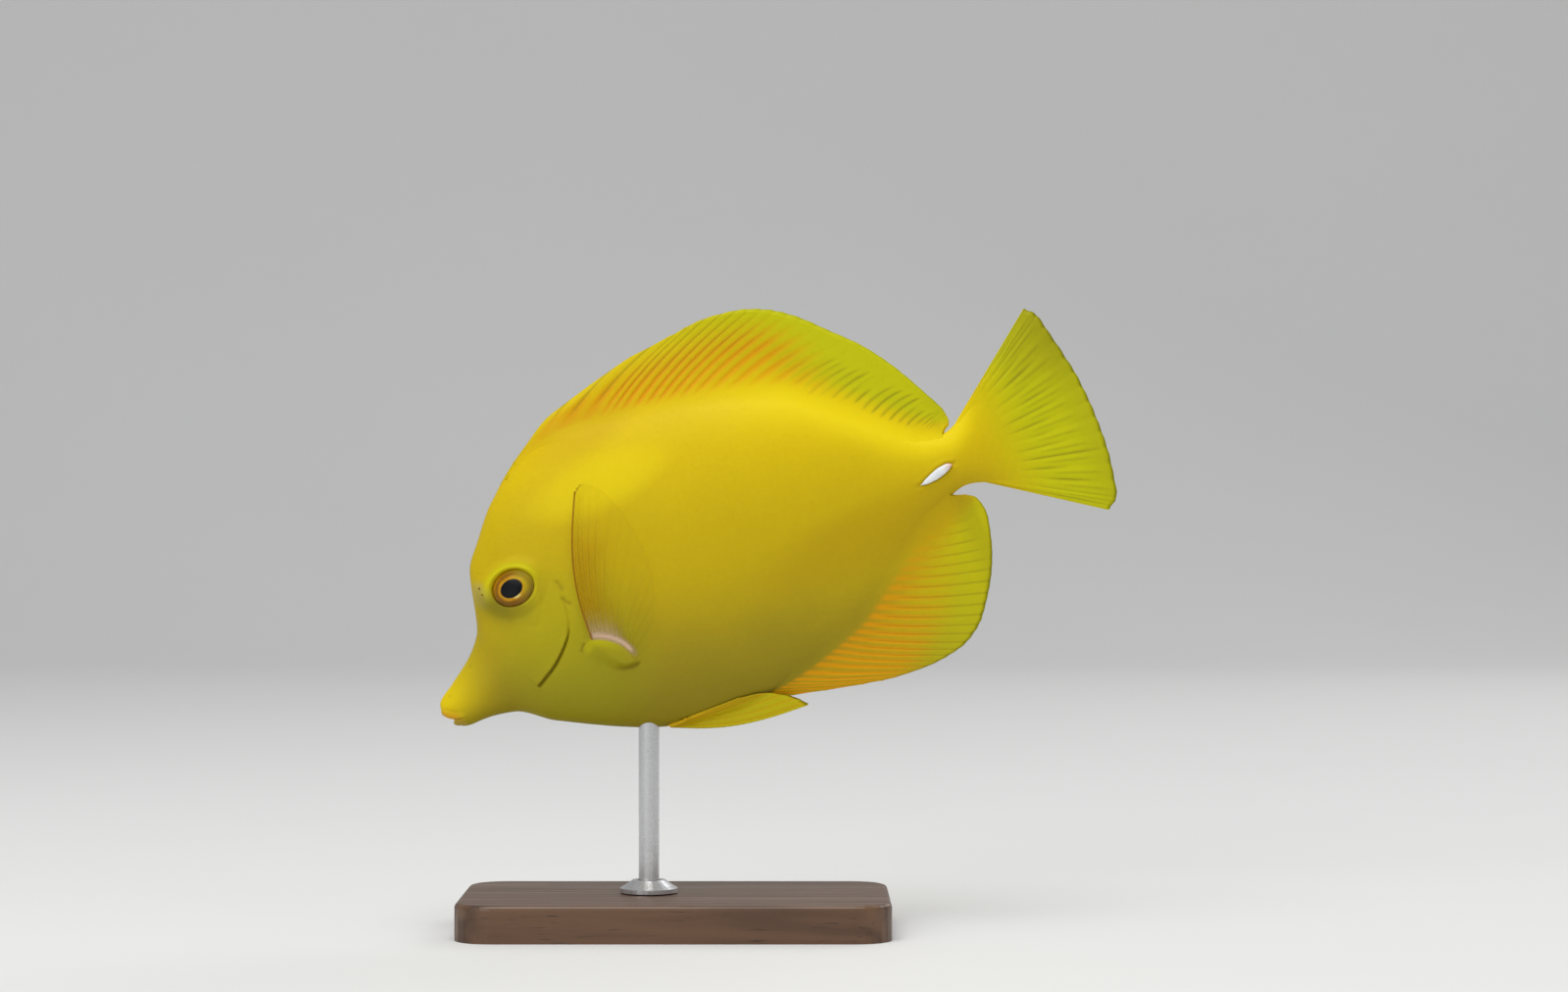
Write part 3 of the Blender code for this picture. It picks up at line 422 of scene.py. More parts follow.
def flatPattern():
    # the skin laid out flat, one axis along the fish and one round it, cut finer where the head needs it
    head = np.arange(body["start"], body["headEnd"], body["headStep"])
    trunk = np.arange(body["headEnd"], body["tailEnd"] - 0.4, body["trunkStep"])
    nose = body["start"] - body["noseCap"] * np.sin(np.linspace(math.pi / 2.0, 0.2, 6))
    stations = np.concatenate([nose, head, trunk, [body["tailEnd"]]])
    half = body["ringPoints"] // 2
    level = np.linspace(-1.0, 1.0, half + 1)
    rise = 0.5 * np.arcsin(level) + 0.25 * math.pi * level
    turns = np.concatenate([rise, math.pi - rise[::-1][1:]])
    mesh = bmesh.new()
    grid = [[mesh.verts.new((station, turn, 0.0)) for turn in turns] for station in stations]
    for here, after in zip(grid, grid[1:]):
        for j in range(len(turns) - 1):
            mesh.faces.new((here[j], after[j], after[j + 1], here[j + 1]))
    for _ in range(4):
        mesh.verts.index_update()
        flat = np.array([v.co[:2] for v in mesh.verts])
        ends = np.array([(e.verts[0].index, e.verts[1].index) for e in mesh.edges])
        placed = sectionAt(flat[:, 0], flat[:, 1])
        lengths = np.linalg.norm(placed[ends[:, 0]] - placed[ends[:, 1]], axis=1)
        centres = (placed[ends[:, 0]] + placed[ends[:, 1]]) / 2.0
        tooLong = lengths > edgeLimit(centres[:, 0], centres[:, 2]) * 1.3
        mesh.edges.ensure_lookup_table()
        longEdges = [mesh.edges[i] for i in np.flatnonzero(tooLong)]
        if not longEdges:
            break
        bmesh.ops.subdivide_edges(mesh, edges=longEdges, cuts=1, use_grid_fill=True)
    return mesh


def addPiece(name, mesh, material, replaces=()):
    piece = bpy.data.objects.new(name, mesh)
    bpy.context.scene.collection.objects.link(piece)
    if material is not None:
        mesh.materials.clear()
        mesh.materials.append(material)
    mesh.polygons.foreach_set("use_smooth", [True] * len(mesh.polygons))
    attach(piece, "root")
    if replaces:
        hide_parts(*replaces)
    return piece


def makeSkin(material):
    pattern = flatPattern()
    flat = np.array([v.co[:2] for v in pattern.verts])
    points, marks = skinShape(flat[:, 0], flat[:, 1])
    placed = toPart(points)
    layers = {name: pattern.verts.layers.float.new(name) for name in marks}
    for i, vert in enumerate(pattern.verts):
        vert.co = placed[i]
        for name, layer in layers.items():
            vert[layer] = float(marks[name][i])
    bmesh.ops.remove_doubles(pattern, verts=pattern.verts, dist=0.002 * mm)
    bmesh.ops.recalc_face_normals(pattern, faces=pattern.faces)
    mesh = bpy.data.meshes.new("skin")
    pattern.to_mesh(mesh)
    pattern.free()
    flesh = ["head", "trunk", "tail_stalk", "upper_lip", "lower_jaw"]
    for word in ("left", "right"):
        flesh += ["gill_cover_" + word, "pectoral_root_" + word, "eyelid_" + word]
    return addPiece("skin", mesh, material, flesh)


# Shader helpers

def addNode(tree, kind, **settings):
    node = tree.nodes.new(kind)
    for key, value in settings.items():
        setattr(node, key, value)
    return node


def feed(tree, socket, value):
    # links an output, or sets a plain value
    if isinstance(value, bpy.types.NodeSocket):
        tree.links.new(value, socket)
    elif isinstance(value, (tuple, list)) and len(value) == 3 and socket.type == "RGBA":
        socket.default_value = (*value, 1.0)
    else:
        socket.default_value = value


def mathNode(tree, operation, first, second=0.0, clamp=False):
    node = addNode(tree, "ShaderNodeMath", operation=operation, use_clamp=clamp)
    feed(tree, node.inputs[0], first)
    feed(tree, node.inputs[1], second)
    return node.outputs[0]


def rangeNode(tree, value, low, high, outLow=0.0, outHigh=1.0):
    node = addNode(tree, "ShaderNodeMapRange", interpolation_type="SMOOTHSTEP")
    for socket, given in zip(node.inputs, (value, low, high, outLow, outHigh)):
        feed(tree, socket, given)
    return node.outputs[0]


def mixColour(tree, share, first, second, blend="MIX"):
    node = addNode(tree, "ShaderNodeMix", data_type="RGBA", blend_type=blend)
    feed(tree, node.inputs["Factor"], share)
    colours = [s for s in node.inputs if s.type == "RGBA"]
    feed(tree, colours[0], first)
    feed(tree, colours[1], second)
    return [s for s in node.outputs if s.type == "RGBA"][0]


def noiseNode(tree, vector, scale, detail=2.0):
    node = addNode(tree, "ShaderNodeTexNoise")
    feed(tree, node.inputs["Vector"], vector)
    node.inputs["Scale"].default_value = scale
    node.inputs["Detail"].default_value = detail
    return node.outputs["Fac"]


def markNode(tree, name):
    return addNode(tree, "ShaderNodeAttribute", attribute_name=name).outputs["Fac"]


def newGroup(name, inputs, outputs):
    tree = bpy.data.node_groups.new(name, "ShaderNodeTree")
    for label, kind, value in inputs:
        socket = tree.interface.new_socket(name=label, in_out="INPUT", socket_type="NodeSocket" + kind)
        if value is not None:
            socket.default_value = value
    for label, kind in outputs:
        tree.interface.new_socket(name=label, in_out="OUTPUT", socket_type="NodeSocket" + kind)
    return tree, addNode(tree, "NodeGroupInput").outputs, addNode(tree, "NodeGroupOutput").inputs


def useGroup(tree, group, **values):
    node = addNode(tree, "ShaderNodeGroup", node_tree=group)
    for name, value in values.items():
        feed(tree, node.inputs[name], value)
    return node.outputs


def newMaterial(name):
    material = bpy.data.materials.new(name)
    material.use_nodes = True
    tree = material.node_tree
    return material, tree, tree.nodes["Principled BSDF"].inputs


def fishVector(tree):
    # object coordinates turned into the fish's frame, in millimetres
    where = addNode(tree, "ShaderNodeTexCoord").outputs["Object"]
    moved = addNode(tree, "ShaderNodeVectorMath", operation="SUBTRACT")
    feed(tree, moved.inputs[0], where)
    moved.inputs[1].default_value = (swimPose["snoutX"] * mm, 0.0, swimPose["snoutZ"] * mm)
    turned = addNode(tree, "ShaderNodeMapping")
    feed(tree, turned.inputs["Vector"], moved.outputs[0])
    turned.inputs["Rotation"].default_value = (0.0, swimPose["noseDown"], 0.0)
    turned.inputs["Scale"].default_value = (1.0 / mm,) * 3
    return turned.outputs[0]


# Colours of the fish

tangTones = {
    # back, flank and belly are one yellow, painted lighter at the top and darker olive below as painted top light and
    # shade
    "back": (0.70, 0.50, 0.001), "flank": (0.56, 0.40, 0.003), "belly": (0.30, 0.235, 0.012),
    "finGreen": (0.53, 0.52, 0.002), "finWarm": (0.70, 0.315, 0.001), "finLine": (0.19, 0.16, 0.008),
    # the crease tone darkens creases and hollows: painted shade
    "paintedCreaseShade": (0.15, 0.09, 0.008), "lips": (0.62, 0.30, 0.012), "lowLip": (0.40, 0.25, 0.03),
    # brow is the tone of the painted highlight on the lids and lobe, olive that of the painted shadow under the eye
    "pink": (0.80, 0.57, 0.42), "brow": (0.60, 0.55, 0.003), "paintedUnderEyeShadow": (0.20, 0.17, 0.008),
    # the palest yellow here is for painted highlight
    "nose": (0.40, 0.34, 0.10), "cheek": (0.35, 0.385, 0.006), "amberFlank": (0.42, 0.26, 0.003), "bright": (0.86, 0.68, 0.001),
    "gold": (0.58, 0.37, 0.001), "snout": (0.77, 0.57, 0.001), "amber": (0.57, 0.29, 0.002), "edge": (0.36, 0.15, 0.003),
}


def tangColourGroup():
    # painted top light and shade: brighter towards the top and darker olive towards the belly, with faint mottling:
    # skin and fins share it, so that no join shows
    sockets = [("Fish", "Vector", None), ("Back", "Color", (*tangTones["back"], 1.0)),
               ("Flank", "Color", (*tangTones["flank"], 1.0)), ("Belly", "Color", (*tangTones["belly"], 1.0)),
               ("Green", "Float", 0.0), ("Warm", "Float", 0.0), ("Mottle", "Float", 0.1)]
    tree, given, result = newGroup("tangColour", sockets, [("Color", "Color")])
    parts = addNode(tree, "ShaderNodeSeparateXYZ")
    feed(tree, parts.inputs[0], given["Fish"])
    # the gradient runs along the height under the top lamps, leaning with x: painted top light and shade
    lean = mathNode(tree, "MULTIPLY", parts.outputs["X"], 0.34)
    height = mathNode(tree, "ADD", parts.outputs["Z"], lean)
    drift = noiseNode(tree, given["Fish"], 0.045, 3.0)
    height = mathNode(tree, "ADD", height, mathNode(tree, "MULTIPLY", mathNode(tree, "SUBTRACT", drift, 0.5), 14.0))
    lower = mixColour(tree, rangeNode(tree, height, -6.5, 38.5), given["Belly"], given["Flank"])
    upper = mixColour(tree, rangeNode(tree, height, 34.0, 66.0), lower, given["Back"])
    greened = mixColour(tree, given["Green"], upper, tangTones["finGreen"])
    warmed = mixColour(tree, given["Warm"], greened, tangTones["finWarm"])
    fleck = noiseNode(tree, given["Fish"], 0.9, 4.0)
    depth = mathNode(tree, "MULTIPLY", mathNode(tree, "SUBTRACT", fleck, 0.5), given["Mottle"])
    value = addNode(tree, "ShaderNodeHueSaturation")
    feed(tree, value.inputs["Color"], warmed)
    feed(tree, value.inputs["Value"], mathNode(tree, "ADD", depth, 1.0))
    feed(tree, result["Color"], value.outputs[0])
    return tree


def fineScaleGroup():
    # the shagreen of tiny rough scales, and the uneven gloss that comes with it
    sockets = [("Fish", "Vector", None), ("Scales per mm", "Float", 1.7), ("Gloss", "Float", 0.42)]
    tree, given, result = newGroup("fineScales", sockets, [("Height", "Float"), ("Roughness", "Float")])
    cells = addNode(tree, "ShaderNodeTexVoronoi", feature="SMOOTH_F1")
    feed(tree, cells.inputs["Vector"], given["Fish"])
    feed(tree, cells.inputs["Scale"], given["Scales per mm"])
    cells.inputs["Smoothness"].default_value = 0.35
    grain = noiseNode(tree, given["Fish"], 2.2, 3.0)
    height = mathNode(tree, "SUBTRACT", mathNode(tree, "MULTIPLY", grain, 0.5), cells.outputs["Distance"])
    feed(tree, result["Height"], height)
    patches = noiseNode(tree, given["Fish"], 0.12, 3.0)
    rough = mathNode(tree, "ADD", given["Gloss"], mathNode(tree, "MULTIPLY", patches, 0.14))
    feed(tree, result["Roughness"], rough)
    return tree


def scaled(tree, shader, fineScales, fish, bumpDepth, **values):
    # lays the scales' relief and gloss over a material
    scales = useGroup(tree, fineScales, Fish=fish, **values)
    feed(tree, shader["Roughness"], scales["Roughness"])
    bump = addNode(tree, "ShaderNodeBump")
    bump.inputs["Strength"].default_value = 0.35
    bump.inputs["Distance"].default_value = bumpDepth * mm
    feed(tree, bump.inputs["Height"], scales["Height"])
    feed(tree, shader["Normal"], bump.outputs[0])
    shader["Specular IOR Level"].default_value = 0.12


def blobNode(tree, x, z, centreX, centreZ, reachX, reachZ):
    # a soft oval mark in the side view
    across = mathNode(tree, "DIVIDE", mathNode(tree, "SUBTRACT", x, centreX), reachX)
    up = mathNode(tree, "DIVIDE", mathNode(tree, "SUBTRACT", z, centreZ), reachZ)
    square = mathNode(tree, "ADD", mathNode(tree, "MULTIPLY", across, across), mathNode(tree, "MULTIPLY", up, up))
    return rangeNode(tree, square, 1.6, 0.0)


softPatches = (             # tone, strength, middle and reach of wide soft patches in the side view
    ("cheek", 0.34, 36.0, 0.0, 18.0, 21.0),
    ("nose", 0.6, 20.6, 20.4, 2.3, 3.6),
    # painted highlight on the upper flank
    ("bright", 0.5, 58.0, 33.0, 17.0, 6.5),
    ("gold", 0.55, 58.0, 46.5, 15.0, 5.5),
    ("amberFlank", 0.4, 112.0, -6.0, 30.0, 8.0),
)


def softPatchGroup():
    # changes of tone that run over body and fins alike, one of them a painted highlight on the upper flank, and the
    # painted highlight band along the rear back
    sockets = [("Fish", "Vector", None), ("Color", "Color", (1.0, 1.0, 1.0, 1.0)), ("Bright", "Float", 0.0)]
    tree, given, result = newGroup("softPatches", sockets, [("Color", "Color")])
    parts = addNode(tree, "ShaderNodeSeparateXYZ")
    feed(tree, parts.inputs[0], given["Fish"])
    colour = given["Color"]
    for tone, share, *blob in softPatches:
        patch = blobNode(tree, parts.outputs["X"], parts.outputs["Z"], *blob)
        colour = mixColour(tree, mathNode(tree, "MULTIPLY", patch, share), colour, tangTones[tone])
    # painted highlight along the rear back, from its mark
    shine = mathNode(tree, "MULTIPLY", given["Bright"], 0.75)
    feed(tree, result["Color"], mixColour(tree, shine, colour, tangTones["bright"]))
    return tree


def bodyColour(tree, fish, tangColour, patches):
    # the colour that skin and fins start from
    plain = useGroup(tree, tangColour, Fish=fish, Green=markNode(tree, "green"), Warm=markNode(tree, "warm"))["Color"]
    return useGroup(tree, patches, Fish=fish, Color=plain, Bright=markNode(tree, "bright"))["Color"]


def skinMaterial(tangColour, patches, fineScales):
    material, tree, shader = newMaterial("yellowSkin")
    fish = fishVector(tree)
    parts = addNode(tree, "ShaderNodeSeparateXYZ")
    feed(tree, parts.inputs[0], fish)
    x, z = parts.outputs["X"], parts.outputs["Z"]
    colour = bodyColour(tree, fish, tangColour, patches)
    snout = mathNode(tree, "MULTIPLY", rangeNode(tree, x, 18.0, 0.0), rangeNode(tree, z, -8.5, -0.5))
    colour = mixColour(tree, mathNode(tree, "MULTIPLY", snout, 0.9), colour, tangTones["snout"])
    # these marks mix in the lips' and the fin root's own tints, and painted light: shade in creases and hollows, a
    # shadow under the eye and highlights on the upper lid and the lobe
    marks = (("paintedUnderEyeShadow", 0.9), ("paintedHighlight", 0.8), ("lipTint", 0.95), ("lipBrown", 0.7), ("pink", 0.9), ("paintedCreaseShade", 0.8))
    tones = {"paintedHighlight": "brow", "lipTint": "lips", "lipBrown": "lowLip"}
    for mark, strength in marks:
        share = mathNode(tree, "MULTIPLY", markNode(tree, mark), strength)
        colour = mixColour(tree, share, colour, tangTones[tones.get(mark, mark)])
    feed(tree, shader["Base Color"], colour)
    scaled(tree, shader, fineScales, fish, 0.06)
    return material


# Fins: rows are (root x, tip x, tip z) for the back and belly fins, (root z, tip x, tip z) for the tail, and
# (root x, root z, tip x, tip z) for the pairs

finTables = {
    "dorsal": ((32.6, 32.9, 40.5), (36.6, 38.0, 44.5), (40, 46, 49.3), (44.5, 53, 52.9), (51, 66, 55.8),
               (58, 78, 57.8), (63, 88, 58.3), (67.5, 96, 58.7), (74, 105, 57.4), (80, 112, 54.6),
               (87, 118, 50.1), (96.5, 124, 43.4), (107, 130, 36.3), (116.5, 134.5, 29), (125, 138.5, 20.5),
               (132, 141.2, 13.8), (136, 141.4, 11.6), (138.5, 140.8, 10.1)),
    "anal": ((71.8, 73.0, -31.2), (73, 75.8, -32.4), (74, 84, -34.9), (76, 96, -38.3), (80, 104, -40.1),
             (88, 113, -40.9), (94, 120.2, -40.2), (100, 126.5, -37.3), (106, 131.2, -32.3), (112, 135.5, -26),
             (118, 138.4, -19.6), (125, 140.2, -12.6), (131.4, 139.4, -8.6), (134.2, 137.4, -7.0)),
    "tail": ((10.2, 169.3, 28), (9.6, 171.4, 25.4), (8.6, 172.4, 20), (6.9, 173.5, 13), (4.6, 174.2, 7),
             (2.1, 174.3, 1), (-0.3, 174, -5), (-2.6, 173.4, -11), (-4.5, 172.2, -17), (-5.6, 170.4, -23.0),
             (-6.2, 167.4, -25.0)),
    "pectoral": ((41, 0.5, 52, 33.6), (42.2, 0.1, 54.2, 34.7), (43.6, -0.6, 57.2, 32.4), (45.6, -2.1, 60.6, 24),
                 (47.2, -4, 61.5, 13.5), (48.2, -6.2, 59.6, 4), (48.8, -8.9, 53.2, -7)),
    "pelvic": ((49.4, -27.6, 81.2, -36.9), (51.0, -27.6, 79.6, -34.8), (52.4, -27.6, 76.4, -31.9),
               (53.6, -27.6, 72.0, -29.5), (54.6, -27.6, 66.8, -28.3)),
}
finEdges = {
    "dorsal": [row[1:] for row in finTables["dorsal"][:16]],
    "anal": [row[1:] for row in finTables["anal"][:12]],
}


def backFinEnds(rows, outline, place):
    rootX = column(rows, 0, place)
    root = np.stack([rootX, curveAt(body[outline], rootX)], axis=-1)
    return root, np.stack([column(rows, 1, place), column(rows, 2, place)], axis=-1)


def tailFinEnds(rows, place):
    root = np.stack([np.full(len(place), 143.3), column(rows, 0, place)], axis=-1)
    return root, np.stack([column(rows, 1, place), column(rows, 2, place)], axis=-1)


def pairFinEnds(rows, place):
    root = np.stack([column(rows, 0, place), column(rows, 1, place)], axis=-1)
    return root, np.stack([column(rows, 2, place), column(rows, 3, place)], axis=-1)


fins = {
    "dorsal": {
        "node": "dorsal_fin", "outline": "back", "ends": lambda place: backFinEnds(finTables["dorsal"], "back", place),
        "spines": (1.45, 3, 4, 5, 6), "rays": (6.6, 17.0, 25), "sweep": 1.3,
        "thin": 0.24, "pleat": 0.4, "pleatFrom": (1.0, 6.0), "notch": 0.22,
        "spineRadius": 0.44, "rayRadius": 0.28, "wave": 0.35,
    },
    "anal": {
        "node": "anal_fin", "outline": "belly", "ends": lambda place: backFinEnds(finTables["anal"], "belly", place),
        "spines": (1.5, 2.25, 2.95), "rays": (3.5, 13.0, 26), "sweep": -0.6,
        "thin": 0.24, "pleat": 0.35, "pleatFrom": (2.0, 7.0), "notch": 0.15,
        "spineRadius": 0.4, "rayRadius": 0.26, "wave": 0.3,
    },
    "tail": {
        "node": "tail_fin", "outline": None, "ends": lambda place: tailFinEnds(finTables["tail"], place),
        "spines": (), "rays": (0.0, 10.0, 16), "bury": 1.5, "sweep": 0.0,
        "root": 0.7, "fillet": 6.0, "thin": 0.25, "pleat": 0.5, "pleatFrom": (7.0, 17.0), "notch": 0.15,
        "spineRadius": 0.5, "rayRadius": 0.26, "wave": 0.3,
    },
    "pectoral": {
        "node": "pectoral_fin", "outline": None, "ends": lambda place: pairFinEnds(finTables["pectoral"], place),
        "spines": (), "rays": (0.0, 6.0, 15), "bury": 1.6, "sweep": 2.3,
        "root": 0.45, "fillet": 2.0, "thin": 0.1, "pleat": 0.3, "pleatFrom": (1.0, 5.0), "notch": 0.25,
        "spineRadius": 0.4, "rayRadius": 0.17, "wave": 0.0, "plainRays": True,
    },
    "pelvic": {
        "node": "pelvic_fin", "outline": None, "ends": lambda place: pairFinEnds(finTables["pelvic"], place),
        "spines": (0.0,), "rays": (0.9, 4.0, 5), "bury": 2.2, "sweep": -2.1,
        "root": 0.7, "fillet": 3.0, "thin": 0.22, "pleat": 0.3, "pleatFrom": (2.0, 7.0), "notch": 0.1,
        "spineRadius": 0.5, "rayRadius": 0.3, "wave": 0.0,
    },
}
finDetail = {
    "guidesPerGap": 6, "guidePoints": 16, "loopPoints": 89, "spineNotch": 0.8,
    "buried": (6.2, 5.1, 4.2, 3.5, 2.9, 2.4, 1.9, 1.3, 0.6), "joinDepth": 2.3, "joinLip": 0.07,
    "endsBuried": 0.3, "edgeSlope": 0.4,
    "firstFork": 0.4, "secondFork": 0.66, "forkSpread": 0.14, "twigSpread": 0.06,
    "pectoralStandoff": (1.0, 2.3), "pelvicOff": 0.3, "pelvicSpread": 2.6,
}


def tintAt(name, x, z):
    # how warm and how green the colour turns, from 0 on the body to 1 on the fins
    if name == "pelvic":
        root = ease(2.6, 0.2, -27.4 - 0.045 * (x - 49.0) - z)
        return 0.35 + 0.25 * root, 0.75 - 0.3 * root
    if name == "pectoral":
        return 0.0 * x, 0.0 * x
    back = curveAt(body["back"], x)
    belly = curveAt(body["belly"], x)
    onBody = 1.0 - ease(140.0, 142.5, x)
    up = onBody * np.clip((z - back) / np.maximum(curveAt(finEdges["dorsal"], x) - back, 2.0), 0.0, 1.0)
    down = onBody * np.clip((belly - z) / np.maximum(belly - curveAt(finEdges["anal"], x), 2.0), 0.0, 1.0)
    down = down * ease(70.0, 74.0, x)
    warmUp = ease(40.0, 58.0, x) * (1.0 - ease(106.0, 124.0, x)) * ease(0.04, 0.25, up) * (1.0 - ease(0.55, 1.0, up))
    outer = 0.6 + 0.6 * (1.0 - ease(94.0, 134.0, x))
    fading = 1.0 - 0.85 * ease(outer - 0.25, outer + 0.1, down)
    warmDown = (1.0 - ease(104.0, 136.0, x)) * ease(0.0, 0.12, down) * fading
    greenUp = ease(0.08, 0.4, up) * (0.2 + 0.8 * ease(70.0, 114.0, x))
    greenDown = ease(0.1, 0.4, down) * (0.25 + 0.45 * ease(94.0, 130.0, x))
    greenTail = ease(143.0, 161.0, x)
    return np.clip(warmUp + warmDown, 0.0, 1.0), np.clip(greenUp + greenDown + greenTail, 0.0, 1.0)


def paintedSheenAt(x, z):
    # painted highlight: the bright band along the upper edge of the rear body, where the top light falls
    width = 7.0 - 3.5 * ease(124.0, 138.0, x)
    band = hump(curveAt(body["back"], x) - z - 1.5, width)
    return band * ease(78.0, 112.0, x) * (1.0 - ease(142.0, 152.0, x))


def chanceOf(number, seed):
    # an uneven but fixed share for each gap between rays
    return 0.5 + 0.5 * np.sin(7.3 * number + 2.1 * np.sin(3.7 * number + seed) + seed)


def lineAt(name, x, z, between, number):
    # thin dark lines between the rays, where the photo shows them
    # thin is darkest in the middle of each gap, down the pleat's groove: partly painted shade there, partly the fin's
    # own dark lines
    thin = ease(0.7, 1.0, between)
    if name == "tail":
        start = 151.0 + 5.0 * chanceOf(number, 1.0)
        end = 161.0 + 9.0 * chanceOf(number, 2.0)
        inRange = ease(start, start + 6.0, x) * (1.0 - ease(end - 4.0, end + 3.0, x))
        veil = 0.3 * ease(4.0, 20.0, z) * ease(152.0, 166.0, x) + 0.25 * ease(164.0, 173.0, x)
        forks = 0.3 * ease(0.34, 0.0, between) * ease(157.0, 162.0, x) * (1.0 - ease(166.0, 171.0, x))
        return thin * inRange * (0.3 + 0.35 * chanceOf(number, 3.0)) + forks + veil
    if name == "dorsal":
        back = curveAt(body["back"], x)
        up = np.clip((z - back) / np.maximum(curveAt(finEdges["dorsal"], x) - back, 2.0), 0.0, 1.0)
        outer = 0.5 * ease(0.4, 0.7, up) * (1.0 - ease(100.0, 114.0, x)) * ease(50.0, 60.0, x)
        low = 0.05 + 0.1 * chanceOf(number, 1.0)
        high = 0.38 + 0.25 * chanceOf(number, 2.0)
        ticks = (0.25 + 0.4 * ease(116.0, 126.0, x)) * ease(106.0, 114.0, x) * (1.0 - ease(137.0, 139.5, x))
        ticks = ticks * ease(low, low + 0.08, up) * ease(high + 0.1, high - 0.05, up)
        ticks = ticks * np.maximum(ease(0.75, 1.0, between), 0.7 * ease(0.3, 0.0, between))
        return thin * outer + ticks + 0.15 * ease(136.0, 140.5, x)
    if name == "anal":
        out = (curveAt(body["belly"], x) - z) / np.maximum(curveAt(body["belly"], x) - curveAt(finEdges["anal"], x), 2.0)
        rear = 0.2 * ease(131.0, 136.0, x) * (1.0 - ease(137.5, 139.0, x))
        return thin * 0.4 * ease(92.0, 112.0, x) * (1.0 - ease(132.0, 137.0, x)) * ease(0.12, 0.4, out) + rear
    return 0.15 * thin


def clearAt(x, z):
    # how solid the breast fin is, and its pink, amber and edge marks
    fromRoot, along = lineReach(smoothLine(finLobe["top"]), x, z)
    front, _ = finPoint("pectoral", 1.0, np.zeros(24), np.linspace(-0.1, 1.0, 24))
    fromEdge = np.abs(lineReach(front[:, (0, 2)], x, z)[0])
    band = hump(fromRoot - 0.4, 0.7) * ease(0.06, 0.25, along) * (1.0 - ease(0.8, 1.0, along))
    blush = ease(7.5, 0.4, fromRoot) * (1.0 - ease(5.0, 10.0, fromEdge))
    amber = (1.0 - ease(1.5, 13.0, fromEdge)) * ease(0.5, 6.0, fromRoot) * (1.0 - ease(18.0, 30.0, z))
    top, _ = finPoint("pectoral", 1.0, np.linspace(0.0, 2.0, 13), np.ones(13))
    fromTop, alongTop = lineReach(top[:, (0, 2)], x, z)
    hook = (1.0 - ease(0.2, 0.5, np.abs(fromTop))) * (1.0 - ease(0.2, 0.75, alongTop))
    edge = np.maximum(1.0 - ease(0.2, 0.5, fromEdge), 0.7 * hook)
    solid = np.maximum.reduce([0.6 * band, 0.34 * blush, 0.2 * amber, 0.6 * edge, 0.04 + 0.0 * x])
    return {"solid": solid, "pink": np.clip(band + 0.55 * blush, 0.0, 1.0), "amber": amber, "edge": edge}


def sidewaysOf(name, side, x, z, out, place):
    # how far the fin's sheet stands to the side of the fish's middle
    if name == "pectoral":
        near, far = finDetail["pectoralStandoff"]
        standoff = near + (far - near) * np.sin(math.pi / 2.0 * np.clip(out, -0.4, 1.0))
        return side * flankAt(x, z, standoff)
    if name == "pelvic":
        clear = flankAt(x, z, finDetail["pelvicOff"])
        spread = finDetail["pelvicSpread"] * np.clip(0.55 + 0.45 * out, 0.0, 1.0)
        return side * (clear ** 3 + spread ** 3) ** (1.0 / 3.0)
    wave = np.sin(1.1 * place + 3.0 * out) * np.clip(out, 0.0, 1.0) ** 2
    return fins[name]["wave"] * wave


def finPoint(name, side, place, out):
    # a point of a fin's sheet: place is counted in rows, out runs from 0 at the root to 1 at the edge
    fin = fins[name]
    place = np.atleast_1d(np.asarray(place, float))
    out = np.atleast_1d(np.asarray(out, float))
    root, tip = fin["ends"](place)
    length = np.maximum(np.hypot(*(tip - root).T), 0.3)
    rows = len(finTables[name]) - 1
    if name in ("pectoral", "pelvic"):
        bowed = 1.0 - place / rows
    else:
        bowed = np.clip(length / 15.0, 0.0, 1.0) * ease(2.0, 6.0, place)
    bow = fin["sweep"] * bowed * np.sin(math.pi * np.clip(out, 0.0, 1.0) ** 0.9)
    x = root[:, 0] + (tip - root)[:, 0] * out - (tip - root)[:, 1] / length * bow
    z = root[:, 1] + (tip - root)[:, 1] * out + (tip - root)[:, 0] / length * bow
    return np.stack([x, sidewaysOf(name, side, x, z, out, place), z], axis=1), length


def ridgeFoot(outline, x, z):
    # nearest place on the back or belly line, the line's outward direction there, and the distance outside it
    def slopeAt(where):
        return curveAt(body[outline], where + 0.5) - curveAt(body[outline], where - 0.5)
    sign = 1.0 if outline == "back" else -1.0
    slope = slopeAt(x)
    foot = x + slope / (1.0 + slope ** 2) * (z - curveAt(body[outline], x))
    slope = slopeAt(foot)
    level = 1.0 / np.sqrt(1.0 + slope ** 2)
    outX, outZ = -sign * slope * level, sign * level
    footZ = curveAt(body[outline], foot)
    return foot, footZ, outX, outZ, (x - foot) * outX + (z - footZ) * outZ


def rootThickness(name, x, z):
    # half thickness of a back or belly fin, which leaves the body's flank without a fold and thins outwards
    outline, thin = fins[name]["outline"], fins[name]["thin"]
    foot, footZ, outX, outZ, rise = ridgeFoot(outline, x, z)
    depth = finDetail["joinDepth"]
    rows = finTables[name]
    fromEnd = np.minimum(foot - rows[0][0], rows[-1][0] - foot)
    lip = finDetail["joinLip"] - finDetail["endsBuried"] * (1.0 - ease(0.5, 12.0, fromEnd))

    def wideAt(deep):
        return flankAt(foot - outX * deep, footZ - outZ * deep)
    start = wideAt(depth) + lip
    grade = (wideAt(depth + 0.1) - wideAt(depth - 0.1)) / 0.2
    reach = (start - thin) / np.maximum(grade, 0.1)
    outside = thin + (start - thin) * np.exp(-np.maximum(rise + depth, 0.0) / reach)
    inside = wideAt(np.maximum(-rise, depth)) + lip - 0.05 * np.maximum(-rise - depth, 0.0)
    return np.where(rise > -depth, outside, inside), rise


def rayPlaces(name):
    first, last, count = fins[name]["rays"]
    return list(fins[name]["spines"]), list(np.linspace(first, last, count))


